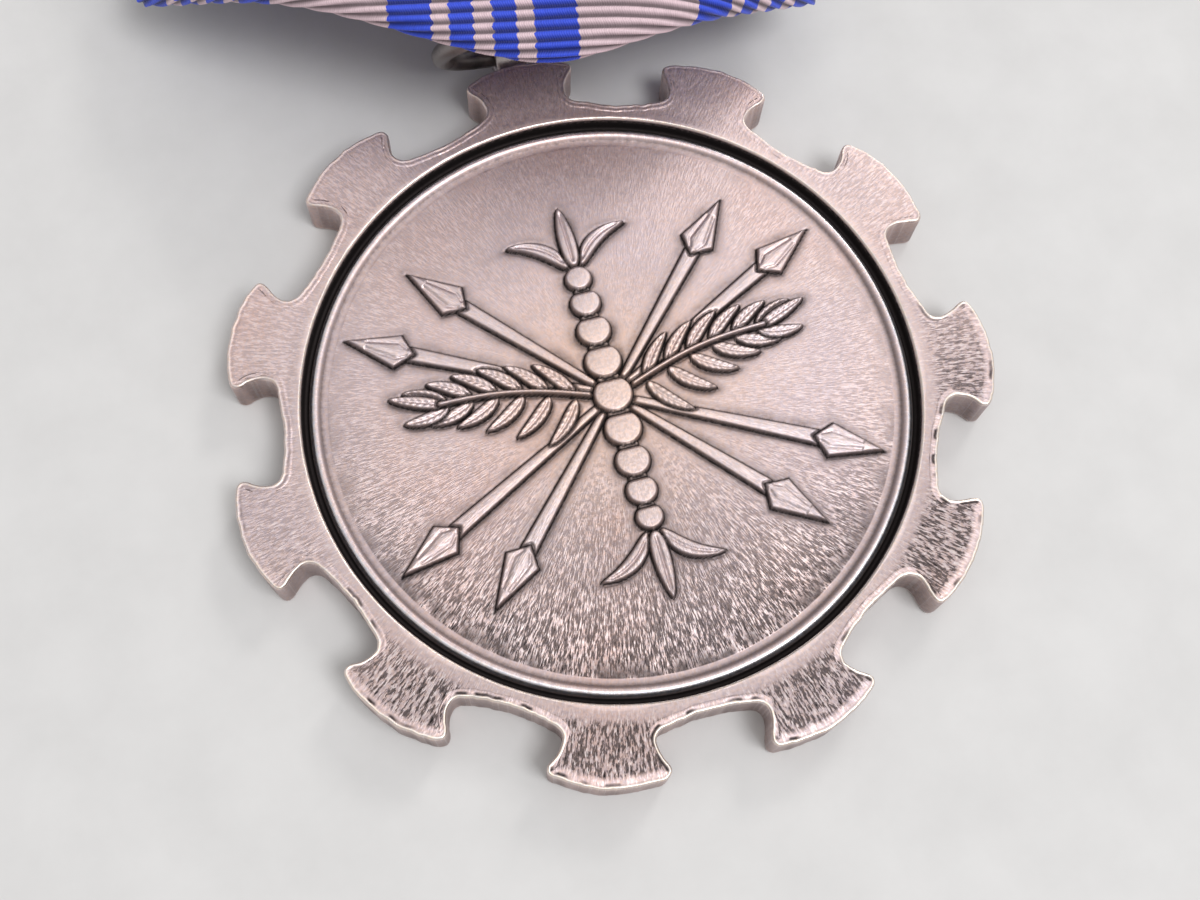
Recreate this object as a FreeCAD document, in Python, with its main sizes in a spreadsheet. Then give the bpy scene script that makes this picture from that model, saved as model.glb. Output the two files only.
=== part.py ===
import FreeCAD, Part
import math
import os
import Sketcher
from FreeCAD import Placement, Rotation, Vector

# Military service medal, lying face up: a lobed disc, lug and ring, a folded ribbon, a pin brooch.
# Origin at the centre of the disc on its flat reverse face. +Z points out of the obverse,
# +Y from the disc towards the ribbon and brooch, +X to the right.
# The ribbon and brooch are drawn square to the axes, then turned and shifted together.

os.makedirs("parts", exist_ok=True)
doc = FreeCAD.newDocument("service_medal")

# ---------------------------------------------------------------- driving dimensions
SIZES = [
    # disc
    ("rim_thickness", 2.4), ("lobe_count", 11), ("lobe_apex_radius", 17.45),
    ("lobe_arc_radius", 5.8), ("lobe_corner_radius", 0.42), ("lobe_half_width", 2.61),
    ("lobe_corner_height", 16.62), ("lobe_neck_half_width", 1.92), ("lobe_neck_height", 15.42),
    ("notch_bottom_radius", 14.70), ("notch_corner_x", 1.75), ("notch_corner_y", 14.88),
    ("groove_outer_radius", 13.92), ("groove_inner_radius", 13.45), ("groove_floor_drop", 0.75),
    ("ring_line_inner_radius", 12.98), ("ring_line_drop", 0.22), ("field_drop", 0.55),
    ("field_dome", 0.10), ("reverse_line_outer", 13.9), ("reverse_line_inner", 13.3),
    ("reverse_line_depth", 0.25),
    # emblem relief
    ("ray_height", 0.22), ("leaf_height", 0.30), ("baton_height", 0.42), ("emblem_sink", 0.25),
    # lug
    ("lug_hole_y", 18.75), ("lug_hole_z", 1.3), ("lug_hole_radius", 0.70),
    ("lug_eye_radius", 1.25), ("lug_width", 1.6), ("tongue_width", 1.4), ("tongue_low", 0.7),
    ("tongue_thickness", 1.2), ("tongue_start", 16.5),
    # ring
    ("ring_mean_radius", 3.50), ("ring_wire_radius", 0.45), ("tip_axis_y", 16.0),
    # tape loop that holds the ring behind the point of the V
    ("loop_inner_radius", 0.80), ("loop_outer_radius", 1.10), ("loop_width", 2.4),
    ("loop_tail_length", 4.5), ("loop_tail_gap", 0.06),
    # ribbon, before it is turned and shifted on the disc
    ("ribbon_width", 34.9), ("ribbon_half_stack", 0.6), ("tip_half_stack", 0.55),
    ("tip_taper_length", 7.5), ("fold_start_y", 14.0), ("fold_start_z", 9.3),
    ("vee_point_x", 2.85), ("vee_slope_left", 0.40), ("vee_slope_right", 0.45),
    ("vee_round", 2.5), ("crown_angle", 36.0), ("crown_flat", 3.3), ("crown_ramp", 9.7),
    ("crown_full", 8.0), ("crown_fade", 26.0),
    ("ribbon_turn", -11.0), ("ribbon_shift_x", -2.05), ("ribbon_shift_y", 14.05),
    ("bend_axis_y", 52.0), ("bend_axis_z", 6.45), ("drape_mid_y", 32.0), ("drape_mid_z", 9.5),
    ("sleeve_tail_gap", 0.75), ("sleeve_wall", 0.5), ("sleeve_gap", 0.05), ("sleeve_round", 0.8),
    # brooch
    ("brooch_y", 56.2), ("bar_length", 34.5), ("bar_width", 4.0), ("bar_thickness", 1.4),
    ("plate_length", 32.4), ("plate_width", 5.0), ("plate_thickness", 0.6), ("plate_low", 4.6),
    ("plate_corner", 1.2), ("plate_rivet_x", 8.5), ("plate_rivet_radius", 0.6),
    ("plate_rivet_head", 1.0), ("plate_rivet_head_height", 0.4), ("plate_rivet_reach", 6.25),
    # pin
    ("pin_axis_z", 1.95), ("hinge_x", 13.5), ("ear_half_gap", 0.95), ("ear_thickness", 0.6),
    ("ear_half_length", 1.5), ("ear_nose_radius", 1.2), ("bracket_base", 0.4),
    ("rivet_radius", 0.5), ("rivet_head_radius", 0.85), ("rivet_head_height", 0.4),
    ("pin_eye_radius", 1.15), ("pin_eye_hole", 0.55), ("pin_eye_half_width", 0.9),
    ("pin_radius", 0.45), ("pin_root_radius", 0.80), ("pin_root_end_x", -11.2),
    ("pin_step_end_x", -11.0), ("pin_taper_x", 9.2), ("pin_tip_x", 16.2),
    # catch
    ("catch_low_x", 12.2), ("catch_length", 1.9), ("catch_outer_radius", 1.9),
    ("catch_bore_radius", 1.28), ("catch_slot_half", 0.66), ("catch_foot_half", 1.2),
    ("rotor_outer_radius", 1.20), ("rotor_bore_radius", 0.70), ("rotor_slot_half", 0.6),
    ("rotor_flange_gap", 0.06), ("rotor_flange_thickness", 0.55), ("rotor_flange_radius", 1.7),
    ("rotor_tab_reach", 3.1), ("rotor_tab_thickness", 0.7),
    # stitches
    ("stitch_count", 11), ("stitch_pitch", 2.9), ("stitch_length", 1.7), ("stitch_radius", 0.16),
]
sheet = doc.addObject("Spreadsheet::Sheet", "Sizes")
for row, (alias, value) in enumerate(SIZES, start=1):
    sheet.set("A%d" % row, alias)
    sheet.set("B%d" % row, repr(value))
    sheet.setAlias("B%d" % row, alias)
doc.recompute()


def size(alias):
    return float(sheet.get(alias))


# ---------------------------------------------------------------- helpers
def new_body(name):
    return doc.addObject("PartDesign::Body", name)


def new_sketch(body, name, role="XY_Plane", lift=0.0):
    """Sketch on an origin plane; lift runs along +Z on XY, +X on YZ and -Y on XZ."""
    sketch = body.newObject("Sketcher::SketchObject", name)
    plane = [f for f in body.Origin.OriginFeatures if f.Role == role][0]
    sketch.AttachmentSupport = [(plane, "")]
    sketch.MapMode = "FlatFace"
    sketch.AttachmentOffset = Placement(Vector(0, 0, lift), Rotation())
    return sketch


def trace(sketch, stops):
    """Closed outline. A stop is (x, y) for a line to it, or (via x, via y, x, y) for an arc."""
    edges = []
    here = Vector(*stops[0][-2:], 0)
    for stop in stops[1:] + stops[:1]:
        there = Vector(*stop[-2:], 0)
        if len(stop) == 2:
            edges.append(Part.LineSegment(here, there))
        else:
            edges.append(Part.Arc(here, Vector(*stop[:2], 0), there))
        here = there
    sketch.addGeometry(edges, False)


def rectangle(sketch, x0, y0, x1, y1):
    trace(sketch, [(x0, y0), (x1, y0), (x1, y1), (x0, y1)])


def circle(sketch, x, y, radius):
    """Circle whose radius is a number, or the alias it is bound to."""
    bound = isinstance(radius, str)
    value = size(radius) if bound else radius
    index = sketch.addGeometry(Part.Circle(Vector(x, y, 0), Vector(0, 0, 1), value), False)
    constraint = sketch.addConstraint(Sketcher.Constraint("Radius", index, value))
    if bound:
        sketch.setExpression("Constraints[%d]" % constraint, "Sizes." + radius)


def leaf(sketch, x0, y0, x1, y1, width):
    """Leaf outline: two arcs between a root and a tip, widest a little nearer the root."""
    root, tip = Vector(x0, y0, 0), Vector(x1, y1, 0)
    along = tip - root
    side = Vector(-along.y, along.x, 0)
    side.normalize()
    middle = root + along * 0.46
    sketch.addGeometry([Part.Arc(root, middle + side * (width / 2), tip),
                        Part.Arc(tip, middle - side * (width / 2), root)], False)


def pad(body, sketch, name, length, midplane=False):
    feature = body.newObject("PartDesign::Pad", name)
    feature.Profile = sketch
    feature.Length = 1.0
    feature.setExpression("Length", length)
    if midplane:
        feature.SideType = 2
    doc.recompute()


def check_cut(body, before, name):
    if not body.Shape.Volume < before - 1e-4:
        raise RuntimeError(name + " removed nothing")


def pocket(body, sketch, name, length, midplane=False):
    """Cut along the sketch's normal, or half the length to each side of it."""
    before = body.Shape.Volume
    feature = body.newObject("PartDesign::Pocket", name)
    feature.Profile = sketch
    feature.Length = 1.0
    feature.setExpression("Length", length)
    if midplane:
        feature.SideType = 2
    else:
        feature.Reversed = True
    doc.recompute()
    check_cut(body, before, name)


def groove(body, sketch, name):
    """Cut turned about the sketch's vertical axis."""
    before = body.Shape.Volume
    feature = body.newObject("PartDesign::Groove", name)
    feature.Profile = sketch
    feature.ReferenceAxis = (sketch, ["V_Axis"])
    feature.Angle = 360.0
    doc.recompute()
    check_cut(body, before, name)


def primitive(kind, name, place, turn=Rotation(), **values):
    """Part primitive; a string value is an expression, a number is set as it is."""
    shape = doc.addObject("Part::" + kind, name)
    for key, value in values.items():
        if isinstance(value, str):
            shape.setExpression(key, value)
        else:
            setattr(shape, key, value)
    shape.Placement = Placement(place, turn)
    return shape


# ---------------------------------------------------------------- disc
FIELD_Z = size("rim_thickness") - size("field_drop")
RELIEF_Z = FIELD_Z - size("emblem_sink")        # the relief starts below the field
TONGUE_HALF = size("tongue_width") / 2
SLOT_END_Y = 19.0                               # clear of the rim

CORNER_DROP = 0.80             # share of the corner radius that the rounding takes off the width
CORNER_VIA_INSET = 0.02        # where the corner arc bulges
CORNER_VIA_RISE = 0.06
# x, y down a lobe's side below its corner, in the lobe's frame (+Y is the lobe's axis)
CORNER_END = (2.50, 16.34)
SIDE_VIA = (2.10, 15.84)
# x, y on the arc from neck to notch, in the notch's frame (+Y is the notch's axis)
NECK_VIA = (-2.36, 15.06)


def lobed_outline(sketch):
    """Arcs round the disc, clockwise; every second point is the middle of an arc."""
    pitch = 2 * math.pi / int(size("lobe_count"))
    apex, arc_radius = size("lobe_apex_radius"), size("lobe_arc_radius")
    half_width = size("lobe_half_width")
    arc_x = half_width - size("lobe_corner_radius") * CORNER_DROP
    arc_y = apex - arc_radius + math.sqrt(arc_radius ** 2 - arc_x ** 2)
    corner_via = (half_width - CORNER_VIA_INSET,
                  (arc_y + size("lobe_corner_height")) / 2 + CORNER_VIA_RISE)
    neck = (size("lobe_neck_half_width"), size("lobe_neck_height"))
    lobe_points = [(arc_x, arc_y), corner_via, CORNER_END, SIDE_VIA, neck]
    notch_points = [NECK_VIA, (-size("notch_corner_x"), size("notch_corner_y"))]

    def turned(x, y, angle):
        return Vector(x * math.cos(angle) + y * math.sin(angle),
                      -x * math.sin(angle) + y * math.cos(angle), 0)

    def flank(side, lobe):
        """One side of a lobe, from its outer arc to the notch beside it."""
        notch = lobe + side * pitch / 2
        return ([turned(side * x, y, lobe) for x, y in lobe_points]
                + [turned(side * x, y, notch) for x, y in notch_points])

    points = []
    for k in range(int(size("lobe_count"))):
        lobe = k * pitch
        points += flank(-1, lobe)[::-1]
        points.append(turned(0, apex, lobe))
        points += flank(1, lobe)
        points.append(turned(0, size("notch_bottom_radius"), lobe + pitch / 2))
    points.append(points[0])
    sketch.addGeometry([Part.Arc(*points[i:i + 3]) for i in range(0, len(points) - 1, 2)], False)


def cut_obverse(body):
    """Domed field, fine raised ring and deep groove, turned as one profile."""
    top = size("rim_thickness")
    groove_out, groove_in = size("groove_outer_radius"), size("groove_inner_radius")
    ring_in = size("ring_line_inner_radius")
    floor_z = top - size("groove_floor_drop")
    ring_z = top - size("ring_line_drop")
    dome = size("field_dome")
    profile = new_sketch(body, "obverse_profile", "XZ_Plane")
    trace(profile, [                             # radius, z
        (0, FIELD_Z + dome), (6.5, FIELD_Z + dome * 0.75),
        (ring_in - 0.12, FIELD_Z), (ring_in + 0.06, ring_z),
        (groove_in - 0.12, ring_z), (groove_in, floor_z),
        (groove_out - 0.10, floor_z), (groove_out, top - 0.02),
        (groove_out + 0.02, top + 1.0), (0, top + 1.0)])
    groove(body, profile, "obverse_recess")


def cut_reverse_line(body):
    """One border line on the plain reverse."""
    inner, outer = size("reverse_line_inner"), size("reverse_line_outer")
    depth = size("reverse_line_depth")
    profile = new_sketch(body, "reverse_profile", "XZ_Plane")
    trace(profile, [(inner, -0.5), (inner + 0.1, depth), (outer - 0.1, depth), (outer, -0.5)])
    groove(body, profile, "reverse_line")


RAY_TIPS = [(7.6, 8.2), (11.1, 5.7)]            # x, y in the first quarter
RAY_ROOT = 3.0                                  # distance from the disc's centre


def add_rays(body):
    """Eight arrow-headed rays, two in each quarter."""
    sketch = new_sketch(body, "ray_outlines", "XY_Plane", RELIEF_Z)
    for side_x in (1, -1):
        for side_y in (1, -1):
            for tip_x, tip_y in RAY_TIPS:
                reach = math.hypot(tip_x, tip_y)
                ux, uy = tip_x / reach, tip_y / reach
                arrow = [                        # distance along the ray, distance across it
                    (RAY_ROOT, -0.26), (reach - 3.1, -0.36), (reach - 2.6, -0.82), (reach, 0.0),
                    (reach - 2.6, 0.82), (reach - 3.1, 0.36), (RAY_ROOT, 0.26)]
                trace(sketch, [(side_x * (u * ux - v * uy), side_y * (u * uy + v * ux))
                               for u, v in arrow])
    pad(body, sketch, "rays", "Sizes.emblem_sink + Sizes.ray_height")


LEAF_PAIRS = 6
LEAF_WIDTH = 0.62


def add_leaves(body):
    """A leaf spray to each side, and three leaves above and below the baton."""
    sketch = new_sketch(body, "leaf_outlines", "XY_Plane", RELIEF_Z)
    for side in (1, -1):
        for i in range(LEAF_PAIRS):
            along = i / (LEAF_PAIRS - 1)
            x = 1.55 + 5.6 * along + 0.10
            y = 0.25 + 0.35 * math.sin(along * math.pi) + 1.15 * along
            length = 2.5 - 0.35 * along
            upward = math.radians(52 - 26 * along)
            downward = math.radians(-46 + 38 * along)
            for root_y, angle in ((y + 0.16, upward), (y - 0.10, downward)):
                leaf(sketch, side * x, root_y, side * (x + length * math.cos(angle)),
                     root_y + length * math.sin(angle), LEAF_WIDTH)
        leaf(sketch, side * 7.6, 1.55, side * 9.8, 2.35, 0.66)
    for end in (1, -1):
        leaf(sketch, 0, end * 6.75, 0, end * 9.6, 0.95)
        for side in (1, -1):
            leaf(sketch, side * 0.42, end * 6.75, side * 2.75, end * 8.2, 0.85)
    pad(body, sketch, "leaves", "Sizes.emblem_sink + Sizes.leaf_height")


BEAD_RADII = [0.62, 0.70, 0.78, 0.84, 0.88, 0.84, 0.78, 0.70, 0.62]
BATON_LENGTH = 13.0


def add_baton(body):
    """Upright row of round beads with equal gaps."""
    sketch = new_sketch(body, "baton_beads", "XY_Plane", RELIEF_Z)
    gap = (BATON_LENGTH - 2 * sum(BEAD_RADII)) / (len(BEAD_RADII) - 1)
    y = -BATON_LENGTH / 2
    for radius in BEAD_RADII:
        circle(sketch, 0, y + radius, radius)
        y += 2 * radius + gap
    pad(body, sketch, "baton", "Sizes.emblem_sink + Sizes.baton_height")


def make_planchet():
    body = new_body("planchet")
    outline = new_sketch(body, "planchet_outline")
    lobed_outline(outline)
    pad(body, outline, "planchet_blank", "Sizes.rim_thickness")
    cut_obverse(body)
    cut_reverse_line(body)
    # slot in the edge of the top lobe for the lug's tongue
    slot = new_sketch(body, "lug_slot_outline", "XY_Plane", size("tongue_low"))
    rectangle(slot, -TONGUE_HALF, size("tongue_start"), TONGUE_HALF, SLOT_END_Y)
    pocket(body, slot, "lug_slot", "Sizes.tongue_thickness")
    add_rays(body)
    add_leaves(body)
    add_baton(body)
    return body


# ---------------------------------------------------------------- lug and ring
LUG_Y, LUG_Z = size("lug_hole_y"), size("lug_hole_z")
TIP_Y = size("tip_axis_y")
# height of the ring's wire inside the tape loop, one ring diameter from the lug's hole
TIP_Z = LUG_Z + math.sqrt((2 * size("ring_mean_radius")) ** 2 - (LUG_Y - TIP_Y) ** 2)


def make_lug():
    """Eye standing across the disc's edge, with a tongue let into the slot."""
    body = new_body("suspension_lug")
    eye = new_sketch(body, "lug_eye_outline", "YZ_Plane")
    circle(eye, LUG_Y, LUG_Z, "lug_eye_radius")
    pad(body, eye, "lug_eye", "Sizes.lug_width", midplane=True)
    tongue = new_sketch(body, "lug_tongue_outline", "XY_Plane", size("tongue_low"))
    rectangle(tongue, -TONGUE_HALF, size("tongue_start"), TONGUE_HALF, LUG_Y - 0.5)
    pad(body, tongue, "lug_tongue", "Sizes.tongue_thickness")
    hole = new_sketch(body, "lug_hole_outline", "YZ_Plane", -2.0)
    circle(hole, LUG_Y, LUG_Z, "lug_hole_radius")
    pocket(body, hole, "lug_hole", "4")
    return body


def make_ring():
    """Ring through the lug's hole and the tape loop."""
    lean = math.degrees(math.atan2(TIP_Z - LUG_Z, TIP_Y - LUG_Y))
    return primitive("Torus", "suspension_ring",
                     Vector(0, (LUG_Y + TIP_Y) / 2, (LUG_Z + TIP_Z) / 2),
                     Rotation(Vector(1, 0, 0), lean),
                     Radius1="Sizes.ring_mean_radius", Radius2="Sizes.ring_wire_radius")


# ---------------------------------------------------------------- ribbon
WIDTH = size("ribbon_width")
HALF_STACK, TIP_HALF_STACK = size("ribbon_half_stack"), size("tip_half_stack")
FOLD_Y = size("fold_start_y")
BEND_Y, BEND_Z = size("bend_axis_y"), size("bend_axis_z")
# the ribbon and brooch hang a little askew from the disc
ASKEW = Placement(Vector(size("ribbon_shift_x"), size("ribbon_shift_y"), 0),
                  Rotation(Vector(0, 0, 1), size("ribbon_turn"))).multiply(
                      Placement(Vector(0, -FOLD_Y, 0), Rotation()))
# arc that the ribbon's middle layer follows, seen from the side
DRAPE_ARC = Part.Arc(Vector(0, FOLD_Y, size("fold_start_z")),
                     Vector(0, size("drape_mid_y"), size("drape_mid_z")),
                     Vector(0, BEND_Y, BEND_Z)).toShape().Curve
# y of the lofted sections, from the fold; the last section is at the bend axis
SECTION_OFFSETS = [-2.2, 0.0, 3.0, 6.0, 9.0, 14.0, 19.0, 24.0, 29.0, 34.0]
CROWN_STEPS = 40               # steps from the middle to one edge
CROWN_PICK = 4                 # every fourth step becomes a point of the section
VEE_STEPS = 36
VEE_OVERHANG = 0.3             # trimming outline past each edge of the ribbon


def smooth(t):
    t = min(1.0, max(0.0, t))
    return t * t * (3 - 2 * t)


def centre_z(y):
    """Height of the ribbon's middle layer."""
    centre = DRAPE_ARC.Center
    return centre.z + math.sqrt(DRAPE_ARC.Radius ** 2 - (y - centre.y) ** 2)


def half_stack(y):
    """Half the thickness of the folded ribbon."""
    blend = smooth((y - FOLD_Y) / size("tip_taper_length"))
    return TIP_HALF_STACK + (HALF_STACK - TIP_HALF_STACK) * blend


def drape_section(y):
    """Closed strip across the ribbon: crowned over the disc, flat at the brooch."""
    fade = 1.0 - smooth((y - FOLD_Y - size("crown_full")) / size("crown_fade"))
    flat, ramp = size("crown_flat"), size("crown_ramp")
    angle = math.radians(size("crown_angle"))

    def tilt(across):
        return fade * angle * smooth((across - flat) / ramp)

    step = WIDTH / 2 / CROWN_STEPS
    half = [(0.0, 0.0, 0.0)]                     # x, z, tilt from the middle outwards
    for i in range(CROWN_STEPS):
        across = (i + 1) * step
        t = tilt(across - step / 2)
        half.append((half[-1][0] + step * math.cos(t), half[-1][1] - step * math.sin(t),
                     tilt(across)))
    right = half[::CROWN_PICK]
    line = [(-x, z, -t) for x, z, t in reversed(right[1:])] + right

    def face(offset):
        points = [Vector(x + offset * math.sin(t), y, centre_z(y) + z + offset * math.cos(t))
                  for x, z, t in line]
        curve = Part.BSplineCurve()
        curve.interpolate(points)
        return points, curve.toShape()

    top, top_edge = face(half_stack(y))
    low, low_edge = face(-half_stack(y))
    return Part.Wire([top_edge, Part.makeLine(top[-1], low[-1]),
                      low_edge, Part.makeLine(low[0], top[0])])


def drape_plan():
    """Upright block that trims the ribbon to its rounded V at the disc end."""
    point_x, rounding = size("vee_point_x"), size("vee_round")
    nose_y = FOLD_Y - TIP_HALF_STACK
    vee = []
    for i in range(VEE_STEPS + 1):
        x = -WIDTH / 2 - VEE_OVERHANG + (WIDTH + 2 * VEE_OVERHANG) * i / VEE_STEPS
        slope = size("vee_slope_left") if x < point_x else size("vee_slope_right")
        rise = slope * (math.sqrt((x - point_x) ** 2 + rounding ** 2) - rounding)
        vee.append(Vector(x, nose_y + rise, 0))
    curve = Part.BSplineCurve()
    curve.interpolate(vee)
    far_y = BEND_Y + 3
    rest = [vee[-1], Vector(vee[-1].x, far_y, 0), Vector(vee[0].x, far_y, 0), vee[0]]
    sides = [Part.makeLine(rest[i], rest[i + 1]) for i in range(3)]
    return Part.Face(Part.Wire([curve.toShape()] + sides)).extrude(Vector(0, 0, 20))


def make_drape():
    stations = [FOLD_Y + offset for offset in SECTION_OFFSETS] + [BEND_Y]
    band = Part.makeLoft([drape_section(y) for y in stations], True, False)
    # round end at the bend axis
    band = band.fuse(Part.makeCylinder(HALF_STACK, WIDTH, Vector(-WIDTH / 2, BEND_Y, BEND_Z),
                                       Vector(1, 0, 0)))
    trimmed = band.common(drape_plan())
    if len(trimmed.Solids) != 1:
        raise RuntimeError("drape is not one solid")
    drape = doc.addObject("Part::Feature", "ribbon_drape")
    drape.Shape = trimmed.Solids[0]
    drape.Placement = ASKEW
    return drape


def make_ring_loop():
    """Tape loop round the ring's wire, its tail laid up the ribbon's back."""
    body = new_body("ring_loop")
    outer, inner = size("loop_outer_radius"), size("loop_inner_radius")
    loop = new_sketch(body, "loop_outline", "YZ_Plane")
    circle(loop, TIP_Y, TIP_Z, "loop_outer_radius")
    pad(body, loop, "loop_round", "Sizes.loop_width", midplane=True)
    start_y, end_y = TIP_Y + 0.1, TIP_Y + size("loop_tail_length")
    back_z = centre_z(end_y) - half_stack(end_y) - size("loop_tail_gap")
    tail = new_sketch(body, "loop_tail_outline", "YZ_Plane")
    trace(tail, [(start_y, TIP_Z + outer - 0.02), (end_y, back_z - 0.10),
                 (end_y, back_z - 0.45), (start_y, TIP_Z + inner - 0.16)])
    pad(body, tail, "loop_tail", "Sizes.loop_width", midplane=True)
    eye = new_sketch(body, "loop_eye_outline", "YZ_Plane", -3.0)
    circle(eye, TIP_Y, TIP_Z, "loop_inner_radius")
    pocket(body, eye, "loop_eye", "6")
    return body


# ---------------------------------------------------------------- brooch
BROOCH_Y = size("brooch_y")
PLATE_LOW = size("plate_low")
PLATE_TOP = PLATE_LOW + size("plate_thickness")
WALL, GAP = size("sleeve_wall"), size("sleeve_gap")
BAR_LOW = PLATE_TOP + WALL + GAP
BAR_TOP = BAR_LOW + size("bar_thickness")
CHANNEL_HALF = size("bar_width") / 2 + GAP      # half width of the sleeve's channel for the bar
RIVET_X = size("plate_rivet_x")
TAIL_Y = BEND_Y + size("sleeve_tail_gap")       # end of the sleeve's tail
TAIL_LOW = BEND_Z - HALF_STACK
ARC_INSET = 1 - math.sqrt(0.5)                  # quarter round's middle, as a share of its radius


def make_bar():
    """Bar inside the sleeve, drilled for two rivets, its long edges rounded."""
    length = size("bar_length")
    blank = primitive("Box", "bar_blank",
                      Vector(-length / 2, BROOCH_Y - size("bar_width") / 2, BAR_LOW),
                      Length="Sizes.bar_length", Width="Sizes.bar_width",
                      Height="Sizes.bar_thickness")
    holes = doc.addObject("Part::MultiFuse", "bar_holes")
    holes.Shapes = [
        primitive("Cylinder", "bar_hole_%d" % i, Vector(side * RIVET_X, BROOCH_Y, BAR_LOW - 0.5),
                  Radius="Sizes.plate_rivet_radius",
                  Height=size("plate_rivet_reach") - BAR_LOW + 0.5)
        for i, side in enumerate((-1, 1))]
    drilled = doc.addObject("Part::Cut", "bar_drilled")
    drilled.Base, drilled.Tool = blank, holes
    doc.recompute()
    bar = doc.addObject("Part::Fillet", "brooch_bar")
    bar.Base = drilled
    bar.Edges = [(i, 0.35, 0.35) for i, edge in enumerate(drilled.Shape.Edges, start=1)
                 if edge.BoundBox.XLength > length - 0.1]
    doc.recompute()
    return bar


def make_sleeve():
    """Ribbon wrapped round the bar, with a short tail towards the drape."""
    body = new_body("ribbon_sleeve")
    y0, y1 = BROOCH_Y - CHANNEL_HALF - WALL, BROOCH_Y + CHANNEL_HALF + WALL
    z0, z1 = PLATE_TOP, BAR_TOP + GAP + WALL
    tail_top = BEND_Z + HALF_STACK
    radius = size("sleeve_round")
    inset = radius * ARC_INSET
    outline = new_sketch(body, "sleeve_outline", "YZ_Plane")
    trace(outline, [
        (y0 + radius, z0), (y1 - radius, z0),
        (y1 - inset, z0 + inset, y1, z0 + radius), (y1, z1 - radius),
        (y1 - inset, z1 - inset, y1 - radius, z1), (y0 + radius, z1),
        (y0, tail_top), (TAIL_Y, tail_top), (TAIL_Y, TAIL_LOW), (y0, TAIL_LOW)])
    pad(body, outline, "sleeve_wrap", "Sizes.ribbon_width", midplane=True)
    channel = new_sketch(body, "sleeve_bore", "YZ_Plane", -25.0)
    rectangle(channel, BROOCH_Y - CHANNEL_HALF, BAR_LOW - GAP,
              BROOCH_Y + CHANNEL_HALF, BAR_TOP + GAP)
    pocket(body, channel, "bar_channel", "50")
    holes = new_sketch(body, "sleeve_rivet_holes", "XY_Plane", PLATE_TOP - 0.5)
    for side in (1, -1):
        circle(holes, side * RIVET_X, BROOCH_Y, size("plate_rivet_radius") + 0.05)
    pocket(body, holes, "rivet_openings", "1.1")
    return body


def make_plate():
    """Back plate with rounded corners and two rivet holes."""
    body = new_body("brooch_plate")
    x1, half_width = size("plate_length") / 2, size("plate_width") / 2
    x0 = -x1
    y0, y1 = BROOCH_Y - half_width, BROOCH_Y + half_width
    radius = size("plate_corner")
    inset = radius * ARC_INSET
    outline = new_sketch(body, "plate_outline", "XY_Plane", PLATE_LOW)
    trace(outline, [
        (x0 + inset, y0 + inset, x0 + radius, y0), (x1 - radius, y0),
        (x1 - inset, y0 + inset, x1, y0 + radius), (x1, y1 - radius),
        (x1 - inset, y1 - inset, x1 - radius, y1), (x0 + radius, y1),
        (x0 + inset, y1 - inset, x0, y1 - radius), (x0, y0 + radius)])
    pad(body, outline, "plate_blank", "Sizes.plate_thickness")
    holes = new_sketch(body, "plate_holes", "XY_Plane", PLATE_LOW - 1.0)
    for side in (1, -1):
        circle(holes, side * RIVET_X, BROOCH_Y, "plate_rivet_radius")
    pocket(body, holes, "plate_rivet_holes", "3")
    return body


def make_brooch_rivets():
    """Two rivets through plate and ribbon into the bar, with conical heads below the plate."""
    head_height = size("plate_rivet_head_height")
    rivets = []
    for i, side in enumerate((-1, 1)):
        x = side * RIVET_X
        rivet_parts = (
            primitive("Cylinder", "rivet_shank_%d" % i, Vector(x, BROOCH_Y, PLATE_LOW),
                      Radius="Sizes.plate_rivet_radius",
                      Height=size("plate_rivet_reach") - PLATE_LOW),
            primitive("Cone", "rivet_head_%d" % i, Vector(x, BROOCH_Y, PLATE_LOW - head_height),
                      Radius1=size("plate_rivet_head") * 0.7,
                      Radius2="Sizes.plate_rivet_head",
                      Height="Sizes.plate_rivet_head_height"))
        rivet = doc.addObject("Part::Fuse", "rivet_%d" % i)
        rivet.Base, rivet.Tool = rivet_parts
        rivets.append(rivet)
    compound = doc.addObject("Part::Compound", "brooch_rivets")
    compound.Links = rivets
    return compound


# ---------------------------------------------------------------- pin and hinge
PIN_Z = size("pin_axis_z")
HINGE_X = -size("hinge_x")


def make_hinge_bracket():
    """Two ears hanging below the plate, joined by a thin base."""
    body = new_body("hinge_bracket")
    half_length, nose = size("ear_half_length"), size("ear_nose_radius")
    base_z = PLATE_LOW - size("bracket_base")
    x0, x1 = HINGE_X - half_length, HINGE_X + half_length
    side = new_sketch(body, "bracket_side", "XZ_Plane", -BROOCH_Y)
    trace(side, [(x0, PLATE_LOW), (x1, PLATE_LOW), (x1, base_z), (HINGE_X + nose, PIN_Z),
                 (HINGE_X, PIN_Z - nose, HINGE_X - nose, PIN_Z), (x0, base_z)])
    pad(body, side, "bracket_blank", "2 * (Sizes.ear_half_gap + Sizes.ear_thickness)",
        midplane=True)
    gap = new_sketch(body, "bracket_gap", "XZ_Plane", -BROOCH_Y)
    rectangle(gap, HINGE_X - 3, base_z, HINGE_X + 3, -1)
    pocket(body, gap, "ear_gap", "2 * Sizes.ear_half_gap", midplane=True)
    holes = new_sketch(body, "bracket_holes", "XZ_Plane", -BROOCH_Y)
    circle(holes, HINGE_X, PIN_Z, "rivet_radius")
    pocket(body, holes, "ear_holes", "10", midplane=True)
    return body


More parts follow.
